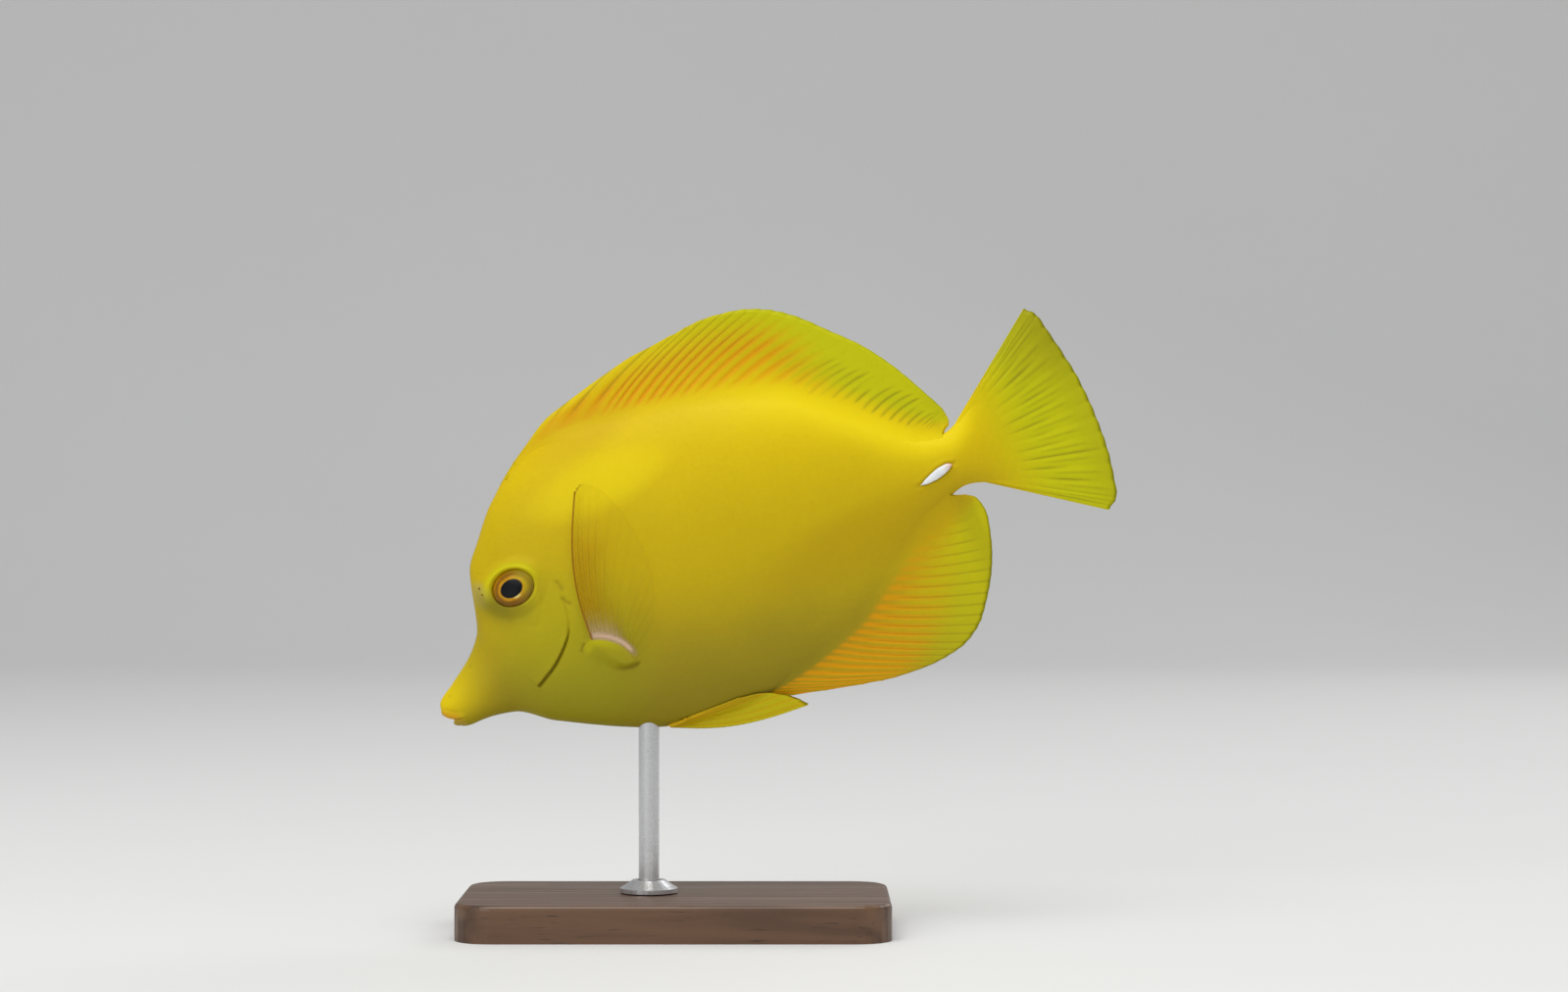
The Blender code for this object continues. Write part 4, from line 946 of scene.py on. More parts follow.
def guidePlaces(name):
    # where the sheet's guide lines stand, how deep the edge is notched there, and a count that is whole on a ray
    spines, soft = rayPlaces(name)
    stops = sorted(spines + soft)
    places, notches, counts = [stops[0]], [0.0], [0.0]
    if stops[0] > 0.0:
        places = list(np.linspace(0.0, stops[0], 5))
        notches = [0.0] * 5
        counts = [0.0] * 5
    perGap = finDetail["guidesPerGap"]
    for number, (here, after) in enumerate(zip(stops, stops[1:])):
        deep = finDetail["spineNotch"] if here in spines and fins[name]["outline"] else fins[name]["notch"]
        for k in range(1, perGap + 1):
            places.append(here + (after - here) * k / perGap)
            notches.append(deep * math.sin(math.pi * k / perGap) ** 2)
            counts.append(number + k / perGap)
    return np.array(places), np.array(notches), np.array(counts)


def betweenRays(counts):
    # 0 on a ray and 1 half-way to the next
    return 1.0 - np.abs(2.0 * (counts % 1.0) - 1.0)


def newCurves(name, lines):
    # one poly spline for each line of (points, radii), both in millimetres
    curves = bpy.data.curves.new(name, "CURVE")
    curves.dimensions = "3D"
    for points, radii in lines:
        spline = curves.splines.new("POLY")
        spline.points.add(len(points) - 1)
        for knot, point, radius in zip(spline.points, toPart(points), radii):
            knot.co = (*point, 1.0)
            knot.radius = float(radius) * mm
    host = bpy.data.objects.new(name, curves)
    bpy.context.scene.collection.objects.link(host)
    return host


def guideLines(name, side):
    # lines out along the sheet, each with the half thickness that the sheet has there
    fin = fins[name]
    places, notches, counts = guidePlaces(name)
    lines = []
    for number, (place, notch, gap) in enumerate(zip(places, notches, betweenRays(counts))):
        _, length = finPoint(name, side, place, 0.0)
        length = float(length[0])
        smoother = 1.0 - 0.7 * float(ease(0.45, 0.75, place / places[-1])) if fin["outline"] else 1.0
        smoother = 0.55 if counts[number] < len(fin["spines"]) and fin["outline"] else smoother
        end = 1.0 - min(notch * smoother / length, 0.2)
        shares = np.append(np.linspace(0.0, 1.0, finDetail["guidePoints"]) ** 1.3 * end * 0.985, end)
        if fin["outline"] is None:
            shares = np.concatenate([[-fin["bury"] / length, -0.5 * fin["bury"] / length], shares])
        points, _ = finPoint(name, side, np.full(len(shares), place), shares)
        if fin["outline"] is None:
            rise = np.maximum(shares, 0.0) * length
            radii = fin["thin"] + (fin["root"] - fin["thin"]) * np.exp(-rise / fin["fillet"])
        else:
            foot, footZ, outX, outZ, _ = ridgeFoot(fin["outline"], points[:1, 0], points[:1, 2])
            deep = np.array(finDetail["buried"])
            under = np.stack([foot - outX * deep, 0.0 * deep, footZ - outZ * deep], axis=1)
            points = np.concatenate([under, points])
            radii, rise = rootThickness(name, points[:, 0], points[:, 2])
            inward = np.abs(curveAt(finEdges[name], points[:, 0]) - points[:, 2])
            radii = np.minimum(radii, 0.5 * fin["thin"] + finDetail["edgeSlope"] * inward)
            shares = np.concatenate([0.0 * deep, shares])
        radii = radii * (1.0 - fin["pleat"] * smoother * ease(0.35, 1.0, gap) * ease(*fin["pleatFrom"], rise))
        radii = radii * (1.0 - 0.5 * ease(0.55, 1.0, shares))
        fromEnd = min(number, len(places) - 1 - number)
        thinned = min(1.0, fromEnd / 3.0)
        if fin["outline"] and fromEnd > 0:
            thinned = 1.0 - (1.0 - thinned) * ease(-0.5, 2.0, rise)
        radii = radii * thinned
        radii[0] = 0.0
        radii[-1] = 0.0
        lines.append((points, radii))
    return lines


def straight(shares):
    return 0.0 * shares


def rayLine(name, side, place, gap, low, high, spread, radiusLow, radiusHigh, points=12):
    # one length of a ray; spread says how far it leans from its own row at a share outwards
    shares = np.linspace(low, high, points)
    path, _ = finPoint(name, side, place + gap * spread(shares), shares)
    radii = radiusLow + (radiusHigh - radiusLow) * (shares - low) / (high - low)
    return path, radii


def rayLines(name, side):
    fin = fins[name]
    spines, soft = rayPlaces(name)
    gap = soft[1] - soft[0]
    first, second = finDetail["firstFork"], finDetail["secondFork"]
    thick = fin["rayRadius"]
    lines = []
    low = 0.0 if fin["outline"] else -0.02
    for place in spines:
        lines.append(rayLine(name, side, place, 0.0, low, 1.0, straight, fin["spineRadius"], 0.1))
    for number, place in enumerate(soft):
        if number in (0, len(soft) - 1) or "plainRays" in fin:
            lines.append(rayLine(name, side, place, 0.0, low, 1.0, straight, thick, 0.12, 20))
            continue
        lines.append(rayLine(name, side, place, 0.0, low, first + 0.06, straight, thick, thick * 0.75))
        for lean in (-1.0, 1.0):
            def forked(s, lean=lean):
                return lean * finDetail["forkSpread"] * ease(first, 1.15, s)
            lines.append(rayLine(name, side, place, gap, first, second + 0.05, forked, thick * 0.6, thick * 0.5))
            for twig in (-1.0, 1.0):
                def twigged(s, lean=lean, twig=twig):
                    return forked(s, lean) + twig * finDetail["twigSpread"] * ease(second, 1.1, s)
                lines.append(rayLine(name, side, place, gap, second, 0.985, twigged, thick * 0.42, thick * 0.27))
    return lines


def geometryTree(name, sockets):
    tree = bpy.data.node_groups.new(name, "GeometryNodeTree")
    tree.interface.new_socket(name="Geometry", in_out="INPUT", socket_type="NodeSocketGeometry")
    for label, kind, value in sockets:
        socket = tree.interface.new_socket(name=label, in_out="INPUT", socket_type="NodeSocket" + kind)
        if value is not None:
            socket.default_value = value
    tree.interface.new_socket(name="Geometry", in_out="OUTPUT", socket_type="NodeSocketGeometry")
    return tree, addNode(tree, "NodeGroupInput").outputs, addNode(tree, "NodeGroupOutput").inputs


def storeFloat(tree, geometry, name, value):
    node = addNode(tree, "GeometryNodeStoreNamedAttribute", data_type="FLOAT", domain="POINT")
    feed(tree, node.inputs["Geometry"], geometry)
    node.inputs["Name"].default_value = name
    feed(tree, node.inputs["Value"], value)
    return node.outputs["Geometry"]


def readFloat(tree, name):
    node = addNode(tree, "GeometryNodeInputNamedAttribute", data_type="FLOAT")
    node.inputs["Name"].default_value = name
    return node.outputs["Attribute"]


def finishTree(tree, geometry, given, result):
    smooth = addNode(tree, "GeometryNodeSetShadeSmooth")
    feed(tree, smooth.inputs["Geometry"], geometry)
    real = addNode(tree, "GeometryNodeRealizeInstances")
    feed(tree, real.inputs[0], smooth.outputs[0])
    paint = addNode(tree, "GeometryNodeSetMaterial")
    feed(tree, paint.inputs["Geometry"], real.outputs[0])
    feed(tree, paint.inputs["Material"], given["Material"])
    feed(tree, result["Geometry"], paint.outputs[0])


def sheetTree():
    # a closed thin sheet stretched over guide lines: a grid is folded round the fin's edge, both its halves
    # follow the guides, and each is then pushed out by the radius that the guides carry
    sockets = [("Guides", "Int", 8), ("Columns", "Int", 16), ("Loop points", "Int", 40),
               ("Root crowding", "Float", 1.5), ("Material", "Material", None)]
    tree, given, result = geometryTree("finSheet", sockets)
    grid = addNode(tree, "GeometryNodeMeshGrid")
    grid.inputs["Size X"].default_value = 1.0
    grid.inputs["Size Y"].default_value = 1.0
    feed(tree, grid.inputs["Vertices X"], given["Columns"])
    feed(tree, grid.inputs["Vertices Y"], given["Loop points"])
    parts = addNode(tree, "ShaderNodeSeparateXYZ")
    feed(tree, parts.inputs[0], addNode(tree, "GeometryNodeInputPosition").outputs[0])
    across = mathNode(tree, "ADD", parts.outputs["X"], 0.5)
    lastGuide = mathNode(tree, "SUBTRACT", given["Guides"], 1.0)
    geometry = storeFloat(tree, grid.outputs["Mesh"], "guide", mathNode(tree, "MULTIPLY", across, lastGuide))
    loop = mathNode(tree, "ABSOLUTE", mathNode(tree, "MULTIPLY", parts.outputs["Y"], 2.0))
    outward = mathNode(tree, "POWER", mathNode(tree, "SUBTRACT", 1.0, loop, clamp=True), given["Root crowding"])
    geometry = storeFloat(tree, geometry, "outward", outward)
    guide = readFloat(tree, "guide")
    lower = mathNode(tree, "MINIMUM", mathNode(tree, "FLOOR", guide), mathNode(tree, "SUBTRACT", lastGuide, 1.0))
    share = mathNode(tree, "SUBTRACT", guide, lower)
    samples = []
    for step in (0.0, 1.0):
        sample = addNode(tree, "GeometryNodeSampleCurve", mode="FACTOR", data_type="FLOAT")
        feed(tree, sample.inputs["Curves"], given["Geometry"])
        feed(tree, sample.inputs["Value"], addNode(tree, "GeometryNodeInputRadius").outputs[0])
        feed(tree, sample.inputs["Factor"], readFloat(tree, "outward"))
        feed(tree, sample.inputs["Curve Index"], mathNode(tree, "ADD", lower, step))
        samples.append(sample)
    onSheet = addNode(tree, "ShaderNodeMix", data_type="VECTOR")
    feed(tree, onSheet.inputs["Factor"], share)
    feed(tree, onSheet.inputs[4], samples[0].outputs["Position"])
    feed(tree, onSheet.inputs[5], samples[1].outputs["Position"])
    thick = addNode(tree, "ShaderNodeMix", data_type="FLOAT")
    feed(tree, thick.inputs["Factor"], share)
    feed(tree, thick.inputs[2], samples[0].outputs["Value"])
    feed(tree, thick.inputs[3], samples[1].outputs["Value"])
    geometry = storeFloat(tree, geometry, "thick", thick.outputs[0])
    laid = addNode(tree, "GeometryNodeSetPosition")
    feed(tree, laid.inputs["Geometry"], geometry)
    feed(tree, laid.inputs["Position"], onSheet.outputs[1])
    push = addNode(tree, "ShaderNodeVectorMath", operation="SCALE")
    feed(tree, push.inputs[0], addNode(tree, "GeometryNodeInputNormal").outputs[0])
    feed(tree, push.inputs["Scale"], readFloat(tree, "thick"))
    pushed = addNode(tree, "GeometryNodeSetPosition")
    feed(tree, pushed.inputs["Geometry"], laid.outputs[0])
    feed(tree, pushed.inputs["Offset"], push.outputs[0])
    merged = addNode(tree, "GeometryNodeMergeByDistance")
    feed(tree, merged.inputs["Geometry"], pushed.outputs[0])
    merged.inputs["Distance"].default_value = 0.002 * mm
    finishTree(tree, merged.outputs[0], given, result)
    return tree


def rayTree():
    # tapered, jointed rays: each line becomes a tube with a slight waist between its joints
    sockets = [("Point spacing", "Float", 0.8 * mm), ("Joint length", "Float", 1.6 * mm),
               ("Joint depth", "Float", 0.07), ("Sides", "Int", 8), ("Material", "Material", None)]
    tree, given, result = geometryTree("finRays", sockets)
    even = addNode(tree, "GeometryNodeResampleCurve", mode="LENGTH")
    feed(tree, even.inputs["Curve"], given["Geometry"])
    feed(tree, even.inputs["Length"], given["Point spacing"])
    along = addNode(tree, "GeometryNodeSplineParameter").outputs["Length"]
    turns = mathNode(tree, "MULTIPLY", mathNode(tree, "DIVIDE", along, given["Joint length"]), 2.0 * math.pi)
    waist = mathNode(tree, "MULTIPLY", mathNode(tree, "SINE", turns), given["Joint depth"])
    jointed = addNode(tree, "GeometryNodeSetCurveRadius")
    feed(tree, jointed.inputs["Curve"], even.outputs[0])
    radius = addNode(tree, "GeometryNodeInputRadius").outputs[0]
    feed(tree, jointed.inputs["Radius"], mathNode(tree, "MULTIPLY", radius, mathNode(tree, "ADD", waist, 1.0)))
    ring = addNode(tree, "GeometryNodeCurvePrimitiveCircle", mode="RADIUS")
    feed(tree, ring.inputs["Resolution"], given["Sides"])
    ring.inputs["Radius"].default_value = 1.0
    tube = addNode(tree, "GeometryNodeCurveToMesh")
    feed(tree, tube.inputs["Curve"], jointed.outputs[0])
    feed(tree, tube.inputs["Profile Curve"], ring.outputs["Curve"])
    feed(tree, tube.inputs["Scale"], addNode(tree, "GeometryNodeInputRadius").outputs[0])
    tube.inputs["Fill Caps"].default_value = True
    finishTree(tree, tube.outputs[0], given, result)
    return tree


def meshFromTree(host, tree, values):
    # runs the tree on its host once and keeps only the mesh
    maker = host.modifiers.new("make", "NODES")
    maker.node_group = tree
    sockets = {s.name: s.identifier for s in tree.interface.items_tree if s.in_out == "INPUT"}
    for name, value in values.items():
        maker[sockets[name]] = value
    bpy.context.view_layer.update()
    made = host.evaluated_get(bpy.context.evaluated_depsgraph_get())
    mesh = bpy.data.meshes.new_from_object(made)
    host.modifiers.remove(maker)
    bpy.data.objects.remove(host)
    return mesh


def sideView(mesh):
    # x and z of a mesh's points in the fish's frame, in millimetres
    flat = np.empty(3 * len(mesh.vertices))
    mesh.vertices.foreach_get("co", flat)
    placed = flat.reshape(-1, 3) / mm - (swimPose["snoutX"], 0.0, swimPose["snoutZ"])
    cosine = math.cos(swimPose["noseDown"])
    sine = math.sin(swimPose["noseDown"])
    return placed[:, 0] * cosine + placed[:, 2] * sine, placed[:, 2] * cosine - placed[:, 0] * sine


def setMarks(mesh, marks):
    for name, values in marks.items():
        layer = mesh.attributes.new(name, "FLOAT", "POINT")
        layer.data.foreach_set("value", np.asarray(values, np.float32))


def gapPlace(name, mesh):
    # how far each point is from its ray, and the number of the gap that it is in
    counts = guidePlaces(name)[2]
    guide = np.empty(len(mesh.vertices))
    mesh.attributes["guide"].data.foreach_get("value", guide)
    count = np.interp(guide, np.arange(len(counts)), counts)
    return betweenRays(count), np.floor(np.minimum(count, counts[-1] - 0.01))


def makeFins(finSkin, finRay, clearSkin, clearRay):
    sheets = sheetTree()
    rays = rayTree()
    for name, fin in fins.items():
        paired = name in ("pectoral", "pelvic")
        clear = name == "pectoral"
        for word, side in (sides.items() if paired else [("", 1.0)]):
            node = fin["node"] + ("_" + word.lower() if paired else "")
            guides = guideLines(name, side)
            values = {"Guides": len(guides), "Columns": 2 * len(guides) - 1, "Loop points": finDetail["loopPoints"],
                      "Material": clearSkin if clear else finSkin}
            sheet = meshFromTree(newCurves(name + "Guides", guides), sheets, values)
            values = {"Material": clearRay if clear else finRay}
            tubes = meshFromTree(newCurves(name + "RayLines", rayLines(name, side)), rays, values)
            between, number = gapPlace(name, sheet)
            for mesh in (sheet, tubes):
                x, z = sideView(mesh)
                warm, green = tintAt(name, x, z)
                broad = 0.35 + 0.3 * (1.0 - ease(56.0, 70.0, x))
                streak = broad + (1.0 - broad) * ease(0.2, 0.75, between) if mesh is sheet else broad
                line = lineAt(name, x, z, between, number) if mesh is sheet else 0.0 * x
                marks = {"warm": warm * streak, "green": green, "line": line, "bright": paintedSheenAt(x, z)}
                setMarks(mesh, clearAt(x, z) if clear else marks)
            addPiece(name + "Fin" + word, sheet, None, [node])
            addPiece(name + "Rays" + word, tubes, None)
        print("fin made:", name)


def finMaterials(tangColour, patches, fineScales):
    made = []
    for name, brighter in (("finSkin", 0.0), ("finRay", 0.2)):
        material, tree, shader = newMaterial(name)
        fish = fishVector(tree)
        colour = bodyColour(tree, fish, tangColour, patches)
        colour = mixColour(tree, brighter, colour, tangTones["back"])
        colour = mixColour(tree, markNode(tree, "line"), colour, tangTones["finLine"])
        feed(tree, shader["Base Color"], colour)
        scaled(tree, shader, fineScales, fish, 0.05)
        made.append(material)
    return made


def clearFinMaterials(tangColour, fineScales):
    # the breast fin is nearly clear: amber in front, pinkish at its root, with a thin brown front edge
    made = []
    for name, more in (("clearFinSkin", 0.0), ("clearFinRay", 0.03)):
        material, tree, shader = newMaterial(name)
        fish = fishVector(tree)
        colour = useGroup(tree, tangColour, Fish=fish)["Color"]
        for mark in ("amber", "pink", "edge"):
            colour = mixColour(tree, mathNode(tree, "MULTIPLY", markNode(tree, mark), 0.9), colour, tangTones[mark])
        feed(tree, shader["Base Color"], colour)
        veil = mathNode(tree, "MULTIPLY", markNode(tree, "amber"), more)
        feed(tree, shader["Alpha"], mathNode(tree, "ADD", markNode(tree, "solid"), veil, clamp=True))
        scaled(tree, shader, fineScales, fish, 0.02)
        made.append(material)
    return made


# Eyes

def eyeFrame(side):
    # centre of the ball and its three directions: back along the cheek, up the cheek and straight out
    x, z = eye["x"], eye["z"]
    slopeX = float(flankAt(x + 1.0, z) - flankAt(x - 1.0, z)) / 2.0
    slopeZ = float(flankAt(x, z + 1.0) - flankAt(x, z - 1.0)) / 2.0
    outward = np.array([-slopeX, side, -slopeZ])
    outward = outward / np.linalg.norm(outward)
    back = np.array([1.0, side * slopeX, 0.0])
    back = back / np.linalg.norm(back)
    up = np.cross(outward, back) * -side
    centre = np.array([x, side * float(flankAt(x, z)), z]) + outward * (eye["bulge"] - eye["ball"][2])
    return centre, back, up, outward


def eyeMesh(name, side, profile, rings, spokes=72):
    # rings of ovals from the middle of the pupil out over the ball; profile gives height off the ball's surface
    centre, back, up, outward = eyeFrame(side)
    length, height, depth = eye["ball"]
    mesh = bmesh.new()
    layer = mesh.verts.layers.float.new("iris")
    turnLayer = mesh.verts.layers.float.new("spoke")
    grid = []
    for share in rings:
        ring = []
        for k in range(spokes):
            angle = 2.0 * math.pi * k / spokes
            acrossX, acrossZ = irisPlace(share, angle)
            away = min(math.hypot(acrossX / length, acrossZ / height), 1.0)
            dome = depth * math.sqrt(max(1.0 - away * away, 0.0))
            point = centre + back * acrossX + up * acrossZ + outward * (dome + profile(share))
            vert = mesh.verts.new(toPart([point])[0])
            vert[layer] = share
            vert[turnLayer] = angle / (2.0 * math.pi)
            ring.append(vert)
        grid.append(ring)
    for here, after in zip(grid, grid[1:]):
        for k in range(spokes):
            mesh.faces.new((here[k], here[(k + 1) % spokes], after[(k + 1) % spokes], after[k]))
    mesh.faces.new(grid[0])
    mesh.faces.new(grid[-1])
    bmesh.ops.recalc_face_normals(mesh, faces=mesh.faces)
    made = bpy.data.meshes.new(name)
    mesh.to_mesh(made)
    mesh.free()
    return made


def irisPlace(share, angle):
    # share 0 to 1 crosses the pupil, 1 to 2 the iris, and 2 to 3 the rest of the ball
    pupilX, pupilZ = eye["pupil"]
    irisX, irisZ = eye["iris"]
    if share <= 1.0:
        return eye["pupilX"] + share * pupilX * math.cos(angle), eye["pupilZ"] + share * pupilZ * math.sin(angle)
    if share <= 2.0:
        part = share - 1.0
        x = (eye["pupilX"] + pupilX * math.cos(angle)) * (1.0 - part) + irisX * math.cos(angle) * part
        z = (eye["pupilZ"] + pupilZ * math.sin(angle)) * (1.0 - part) + irisZ * math.sin(angle) * part
        return x, z
    part = share - 2.0
    length, height, _ = eye["ball"]
    return ((irisX + (length - irisX) * part) * math.cos(angle),
            (irisZ + (height - irisZ) * part) * math.sin(angle))


def irisHeight(share):
    lens = 0.12 * (1.0 - share ** 2) if share < 1.0 else 0.0
    rim = 0.08 * math.exp(-((share - 1.1) / 0.07) ** 2)
    dip = -0.14 * math.exp(-((share - 1.5) / 0.25) ** 2)
    return lens + rim + dip - 0.12


irisTones = {
    "orange": (0.66, 0.31, 0.004), "yellow": (0.60, 0.45, 0.004), "brown": (0.30, 0.12, 0.005),
    "dark": (0.11, 0.055, 0.007), "gold": (0.75, 0.38, 0.01), "paintedGlint": (1.0, 0.80, 0.25), "pupil": (0.002, 0.003, 0.006),
}


def eyeMaterial():
    material, tree, shader = newMaterial("iris")
    place = markNode(tree, "iris")
    fish = fishVector(tree)
    parts = addNode(tree, "ShaderNodeSeparateXYZ")
    feed(tree, parts.inputs[0], fish)
    x, z = parts.outputs["X"], parts.outputs["Z"]
    flecks = noiseNode(tree, fish, 1.6, 4.0)
    behind = rangeNode(tree, x, eye["x"] - 1.0, eye["x"] + 4.0)
    above = rangeNode(tree, z, eye["z"] - 2.0, eye["z"] + 3.0)
    colour = mixColour(tree, behind, irisTones["orange"], irisTones["yellow"])
    ring = mathNode(tree, "ADD", place, mathNode(tree, "MULTIPLY", mathNode(tree, "SUBTRACT", flecks, 0.5), 0.3))
    arc = mathNode(tree, "MULTIPLY", rangeNode(tree, ring, 1.22, 1.42), rangeNode(tree, ring, 1.82, 1.58))
    arc = mathNode(tree, "MULTIPLY", arc, mathNode(tree, "SUBTRACT", 0.85, mathNode(tree, "MULTIPLY", behind, 0.5)))
    colour = mixColour(tree, arc, colour, irisTones["brown"])
    low = mathNode(tree, "MULTIPLY", mathNode(tree, "SUBTRACT", 1.0, above), rangeNode(tree, ring, 1.3, 1.8))
    colour = mixColour(tree, mathNode(tree, "MULTIPLY", low, 0.7), colour, irisTones["dark"])
    colour = mixColour(tree, rangeNode(tree, place, 1.92, 2.08), colour, irisTones["dark"])
    gold = mathNode(tree, "MULTIPLY", rangeNode(tree, place, 1.0, 1.04), rangeNode(tree, place, 1.14, 1.06))
    colour = mixColour(tree, gold, colour, irisTones["gold"])
    colour = mixColour(tree, rangeNode(tree, place, 1.03, 0.98), colour, irisTones["pupil"])
    # painted reflection: a bright glint on the rim of the pupil at its lower rear
    paintedGlint = blobNode(tree, x, z, 28.9, 16.75, 0.95, 0.7)
    onRim = mathNode(tree, "MULTIPLY", rangeNode(tree, place, 0.97, 1.02), rangeNode(tree, place, 1.3, 1.12))
    colour = mixColour(tree, mathNode(tree, "MULTIPLY", paintedGlint, onRim), colour, irisTones["paintedGlint"])
    feed(tree, shader["Base Color"], colour)
    feed(tree, shader["Roughness"], rangeNode(tree, flecks, 0.3, 0.7, 0.35, 0.5))
    shader["Specular IOR Level"].default_value = 0.15
    return material


def corneaMaterial():
    material, tree, shader = newMaterial("cornea")
    fish = fishVector(tree)
    shader["Transmission Weight"].default_value = 1.0
    shader["IOR"].default_value = 1.15
    feed(tree, shader["Roughness"], rangeNode(tree, noiseNode(tree, fish, 0.8), 0.3, 0.7, 0.0, 0.03))
    feed(tree, shader["Base Color"], mixColour(tree, noiseNode(tree, fish, 0.5), (1.0, 1.0, 1.0), (0.97, 0.98, 0.95)))
    return material


def makeEyes():
    iris = eyeMaterial()
    cornea = corneaMaterial()
    rings = [0.04] + list(np.linspace(0.15, 0.9, 7)) + [0.96, 0.99, 1.02, 1.06]
    rings += list(np.linspace(1.1, 2.0, 16)) + [2.2, 2.45, 2.7, 2.9, 3.0]
    domeRings = [0.04] + list(np.linspace(0.15, 2.0, 26)) + [2.2, 2.45, 2.7, 2.9]
    for word, side in sides.items():
        mesh = eyeMesh("eye" + word, side, irisHeight, rings)
        addPiece("eye" + word, mesh, iris, ["eye_" + word.lower()])
        dome = eyeMesh("cornea" + word, side, lambda share: 0.22 * (1.0 - (share / 3.0) ** 4) + 0.01, domeRings)
        addPiece("cornea" + word, dome, cornea)
    print("eyes made")


# Tail spines

def spineMaterial():
    material, tree, shader = newMaterial("tailSpine")
    fish = fishVector(tree)
    parts = addNode(tree, "ShaderNodeSeparateXYZ")
    feed(tree, parts.inputs[0], fish)
    cloud = noiseNode(tree, fish, 0.7, 3.0)
    colour = mixColour(tree, cloud, (0.86, 0.87, 0.86), (0.68, 0.71, 0.74))
    colour = mixColour(tree, rangeNode(tree, parts.outputs["X"], 134.6, 137.4), colour, (0.75, 0.50, 0.42))
    feed(tree, shader["Base Color"], colour)
    feed(tree, shader["Roughness"], rangeNode(tree, cloud, 0.3, 0.7, 0.25, 0.4))
    shader["Coat Weight"].default_value = 0.4
    shader["Coat Roughness"].default_value = 0.15
    return material


def makeTailSpines():
    # a white blade folded into its groove, point forward, rounded on its outer face
    material = spineMaterial()
    stations = 40
    around = 20
    start = tailSpine["top"][0][0]
    end = tailSpine["top"][-1][0]
    for word, side in sides.items():
        rings = []
        for i in range(stations):
            share = i / (stations - 1)
            x = start + (end - start) * share
            top = float(curveAt(tailSpine["top"], x))
            low = float(curveAt(tailSpine["low"], x))
            blunt = math.sqrt(max(1.0 - max(share - 0.86, 0.0) ** 2 / 0.14 ** 2, 0.0))
            point = min(1.0, share / 0.16) ** 0.6
            half = (top - low) / 2.0 * max(blunt, 0.02) * max(point, 0.04)
            thick = (0.28 + 0.5 * share) * max(blunt, 0.02) * max(point, 0.04)
            middle = (top + low) / 2.0
            foot = float(flankAt(x, middle)) + 0.08 + 0.3 * share
            ring = []
            for k in range(around):
                angle = 2.0 * math.pi * k / around
                rise = math.sin(angle)
                out = math.copysign(abs(math.cos(angle)) ** 0.8, math.cos(angle))
                ring.append((x, side * (foot + out * thick), middle + rise * half))
            rings.append(toPart(ring))
        mesh = bmesh.new()
        grid = [[mesh.verts.new(point) for point in ring] for ring in rings]
        for here, after in zip(grid, grid[1:]):
            for k in range(around):
                mesh.faces.new((here[k], here[(k + 1) % around], after[(k + 1) % around], after[k]))
        mesh.faces.new(grid[0])
        mesh.faces.new(grid[-1])
        bmesh.ops.recalc_face_normals(mesh, faces=mesh.faces)
        made = bpy.data.meshes.new("tailSpine" + word)
        mesh.to_mesh(made)
        mesh.free()
        addPiece("tailSpine" + word, made, material, ["tail_spine_" + word.lower()])
    print("tail spines made")


# Stand

def woodMaterial():
    material, tree, shader = newMaterial("oiledWood")
    where = addNode(tree, "ShaderNodeTexCoord").outputs["Object"]
    mapping = addNode(tree, "ShaderNodeMapping")
    feed(tree, mapping.inputs["Vector"], where)
    mapping.inputs["Scale"].default_value = (9.0, 90.0, 90.0)
    long = noiseNode(tree, mapping.outputs[0], 1.0, 5.0)
    waves = addNode(tree, "ShaderNodeTexWave", wave_type="BANDS", bands_direction="Y")
    feed(tree, waves.inputs["Vector"], mapping.outputs[0])
    waves.inputs["Scale"].default_value = 0.9
    waves.inputs["Distortion"].default_value = 9.0
    waves.inputs["Detail"].default_value = 3.0
    waves.inputs["Detail Scale"].default_value = 1.2
    grain = mathNode(tree, "ADD", mathNode(tree, "MULTIPLY", waves.outputs["Fac"], 0.3), mathNode(tree, "MULTIPLY", long, 0.8))
    colour = mixColour(tree, rangeNode(tree, grain, 0.2, 0.95), (0.065, 0.029, 0.013), (0.16, 0.08, 0.038))
    poreMap = addNode(tree, "ShaderNodeMapping")
    feed(tree, poreMap.inputs["Vector"], where)
    poreMap.inputs["Scale"].default_value = (120.0, 1900.0, 1900.0)
    poreShade = noiseNode(tree, poreMap.outputs[0], 1.0, 2.0)
    pits = rangeNode(tree, poreShade, 0.62, 0.72)
    colour = mixColour(tree, mathNode(tree, "MULTIPLY", pits, 0.6), colour, (0.02, 0.009, 0.005))
    feed(tree, shader["Base Color"], colour)
    feed(tree, shader["Roughness"], rangeNode(tree, grain, 0.2, 0.95, 0.46, 0.34))
    bump = addNode(tree, "ShaderNodeBump")
    bump.inputs["Strength"].default_value = 0.3
    bump.inputs["Distance"].default_value = 0.0001
    feed(tree, bump.inputs["Height"], mathNode(tree, "SUBTRACT", mathNode(tree, "MULTIPLY", grain, 0.3), pits))
    feed(tree, shader["Normal"], bump.outputs[0])
    return material


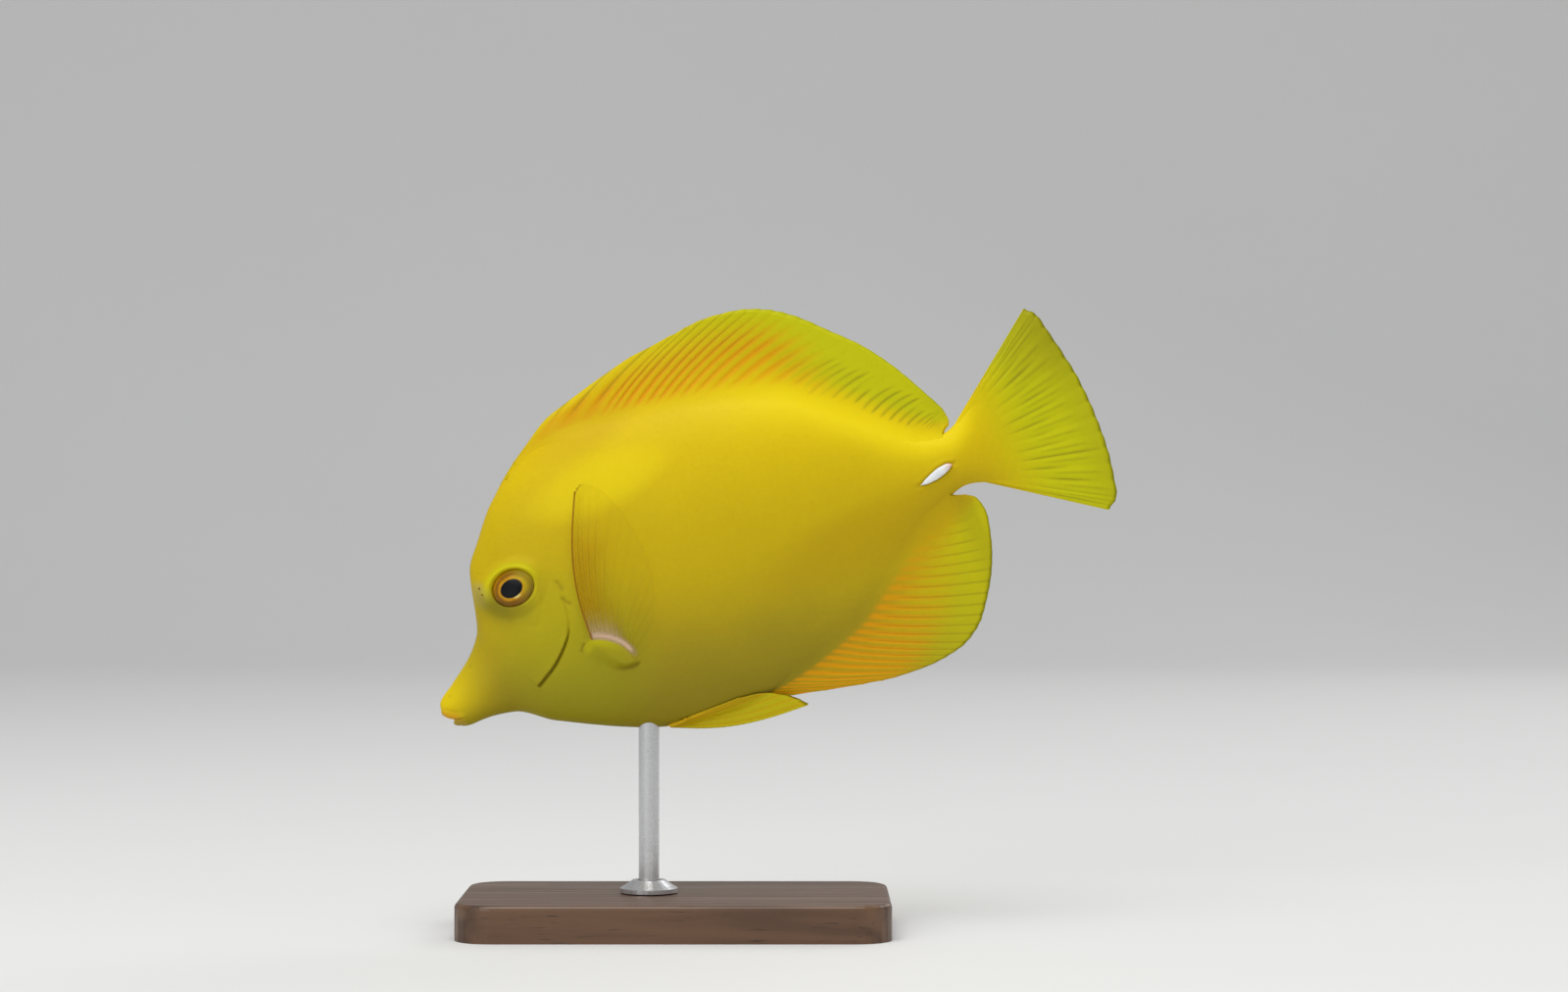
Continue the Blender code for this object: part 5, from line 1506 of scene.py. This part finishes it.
def steelMaterial():
    material, tree, shader = newMaterial("brushedSteel")
    where = addNode(tree, "ShaderNodeTexCoord").outputs["Object"]
    mapping = addNode(tree, "ShaderNodeMapping")
    feed(tree, mapping.inputs["Vector"], where)
    mapping.inputs["Scale"].default_value = (600.0, 600.0, 9000.0)
    brushed = noiseNode(tree, mapping.outputs[0], 1.0, 3.0)
    cloud = noiseNode(tree, where, 60.0, 3.0)
    colour = mixColour(tree, cloud, (0.60, 0.60, 0.61), (0.66, 0.66, 0.67))
    feed(tree, shader["Base Color"], colour)
    shader["Metallic"].default_value = 1.0
    rough = mathNode(tree, "ADD", rangeNode(tree, brushed, 0.3, 0.7, 0.22, 0.34), mathNode(tree, "MULTIPLY", cloud, 0.08))
    feed(tree, shader["Roughness"], rough)
    bump = addNode(tree, "ShaderNodeBump")
    bump.inputs["Strength"].default_value = 0.06
    bump.inputs["Distance"].default_value = 0.00003
    feed(tree, bump.inputs["Height"], brushed)
    feed(tree, shader["Normal"], bump.outputs[0])
    return material


def paintStand():
    looks = {"stand_base": woodMaterial(), "stand_rod": steelMaterial()}
    looks["stand_collar"] = looks["stand_rod"]
    for name, material in looks.items():
        for holder in cadNodes[name].material_slots:
            holder.material = material
    print("stand painted")


# Floor, light and camera

camera = {"targetX": 0.0263, "targetZ": 0.1054, "distance": 0.9, "width": 0.3808, "sensor": 36.0}
studio = {
    "floorTone": (0.80, 0.80, 0.79), "skyTone": (0.92, 0.93, 0.94), "skyStrength": 0.5,
    "lamps": (                  # name, place, aim, size and power
        ("top", (-0.10, -0.40, 1.25), (0.02, 0.0, 0.10), 0.9, 9.5),
        ("front", (-0.75, -1.25, 0.75), (0.0, 0.0, 0.10), 0.8, 4.5),
        ("back", (0.9, 1.0, 0.9), (0.0, 0.0, 0.10), 0.8, 4.0),
    ),
}


def makeFloor():
    # a pale sweep: level floor that curves up into a wall far behind the object
    mesh = bmesh.new()
    profile = [(-3.0, 0.0), (1.4, 0.0)]
    profile += [(1.4 + 0.9 * math.sin(a), 0.9 - 0.9 * math.cos(a)) for a in np.linspace(0.1, math.pi / 2.0, 16)]
    profile += [(2.3, 2.6)]
    rows = [[mesh.verts.new((x, y, z)) for x in (-3.5, 3.5)] for y, z in profile]
    for here, after in zip(rows, rows[1:]):
        mesh.faces.new((here[0], here[1], after[1], after[0]))
    made = bpy.data.meshes.new("floor")
    mesh.to_mesh(made)
    mesh.free()
    made.polygons.foreach_set("use_smooth", [True] * len(made.polygons))
    floor = bpy.data.objects.new("floor", made)
    bpy.context.scene.collection.objects.link(floor)
    material, tree, shader = newMaterial("paleFloor")
    cloud = noiseNode(tree, addNode(tree, "ShaderNodeTexCoord").outputs["Object"], 4.0, 3.0)
    tone = studio["floorTone"]
    feed(tree, shader["Base Color"], mixColour(tree, cloud, tone, tuple(0.97 * t for t in tone)))
    shader["Roughness"].default_value = 0.75
    made.materials.append(material)


def makeStudio():
    world = bpy.data.worlds.new("studio")
    world.use_nodes = True
    background = world.node_tree.nodes["Background"]
    background.inputs["Color"].default_value = (*studio["skyTone"], 1.0)
    background.inputs["Strength"].default_value = studio["skyStrength"]
    bpy.context.scene.world = world
    for name, place, aim, size, power in studio["lamps"]:
        lamp = bpy.data.lights.new(name, "AREA")
        lamp.size = size
        lamp.energy = power
        holder = bpy.data.objects.new(name, lamp)
        bpy.context.scene.collection.objects.link(holder)
        holder.location = place
        direction = np.array(aim) - np.array(place)
        holder.rotation_euler = aimTurn(direction)
    bpy.context.scene.view_settings.view_transform = "Standard"


def aimTurn(direction):
    # turn that points a lamp's or camera's -Z along a direction
    flat = math.hypot(direction[0], direction[1])
    return (math.atan2(flat, -direction[2]), 0.0, math.atan2(-direction[0], direction[1]))


def makeCamera():
    lens = bpy.data.cameras.new("camera")
    lens.sensor_width = camera["sensor"]
    lens.lens = camera["sensor"] * camera["distance"] / camera["width"]
    lens.clip_start = 0.01
    viewer = bpy.data.objects.new("camera", lens)
    bpy.context.scene.collection.objects.link(viewer)
    viewer.location = (camera["targetX"], -camera["distance"], camera["targetZ"])
    viewer.rotation_euler = (math.pi / 2.0, 0.0, 0.0)
    bpy.context.scene.camera = viewer


makeCamera()
makeStudio()
makeFloor()
print("studio made")
tangColours = tangColourGroup()
patches = softPatchGroup()
scaleGrain = fineScaleGroup()
skin = makeSkin(skinMaterial(tangColours, patches, scaleGrain))
print("skin made:", len(skin.data.polygons), "faces")
makeFins(*finMaterials(tangColours, patches, scaleGrain), *clearFinMaterials(tangColours, scaleGrain))
makeEyes()
makeTailSpines()
paintStand()
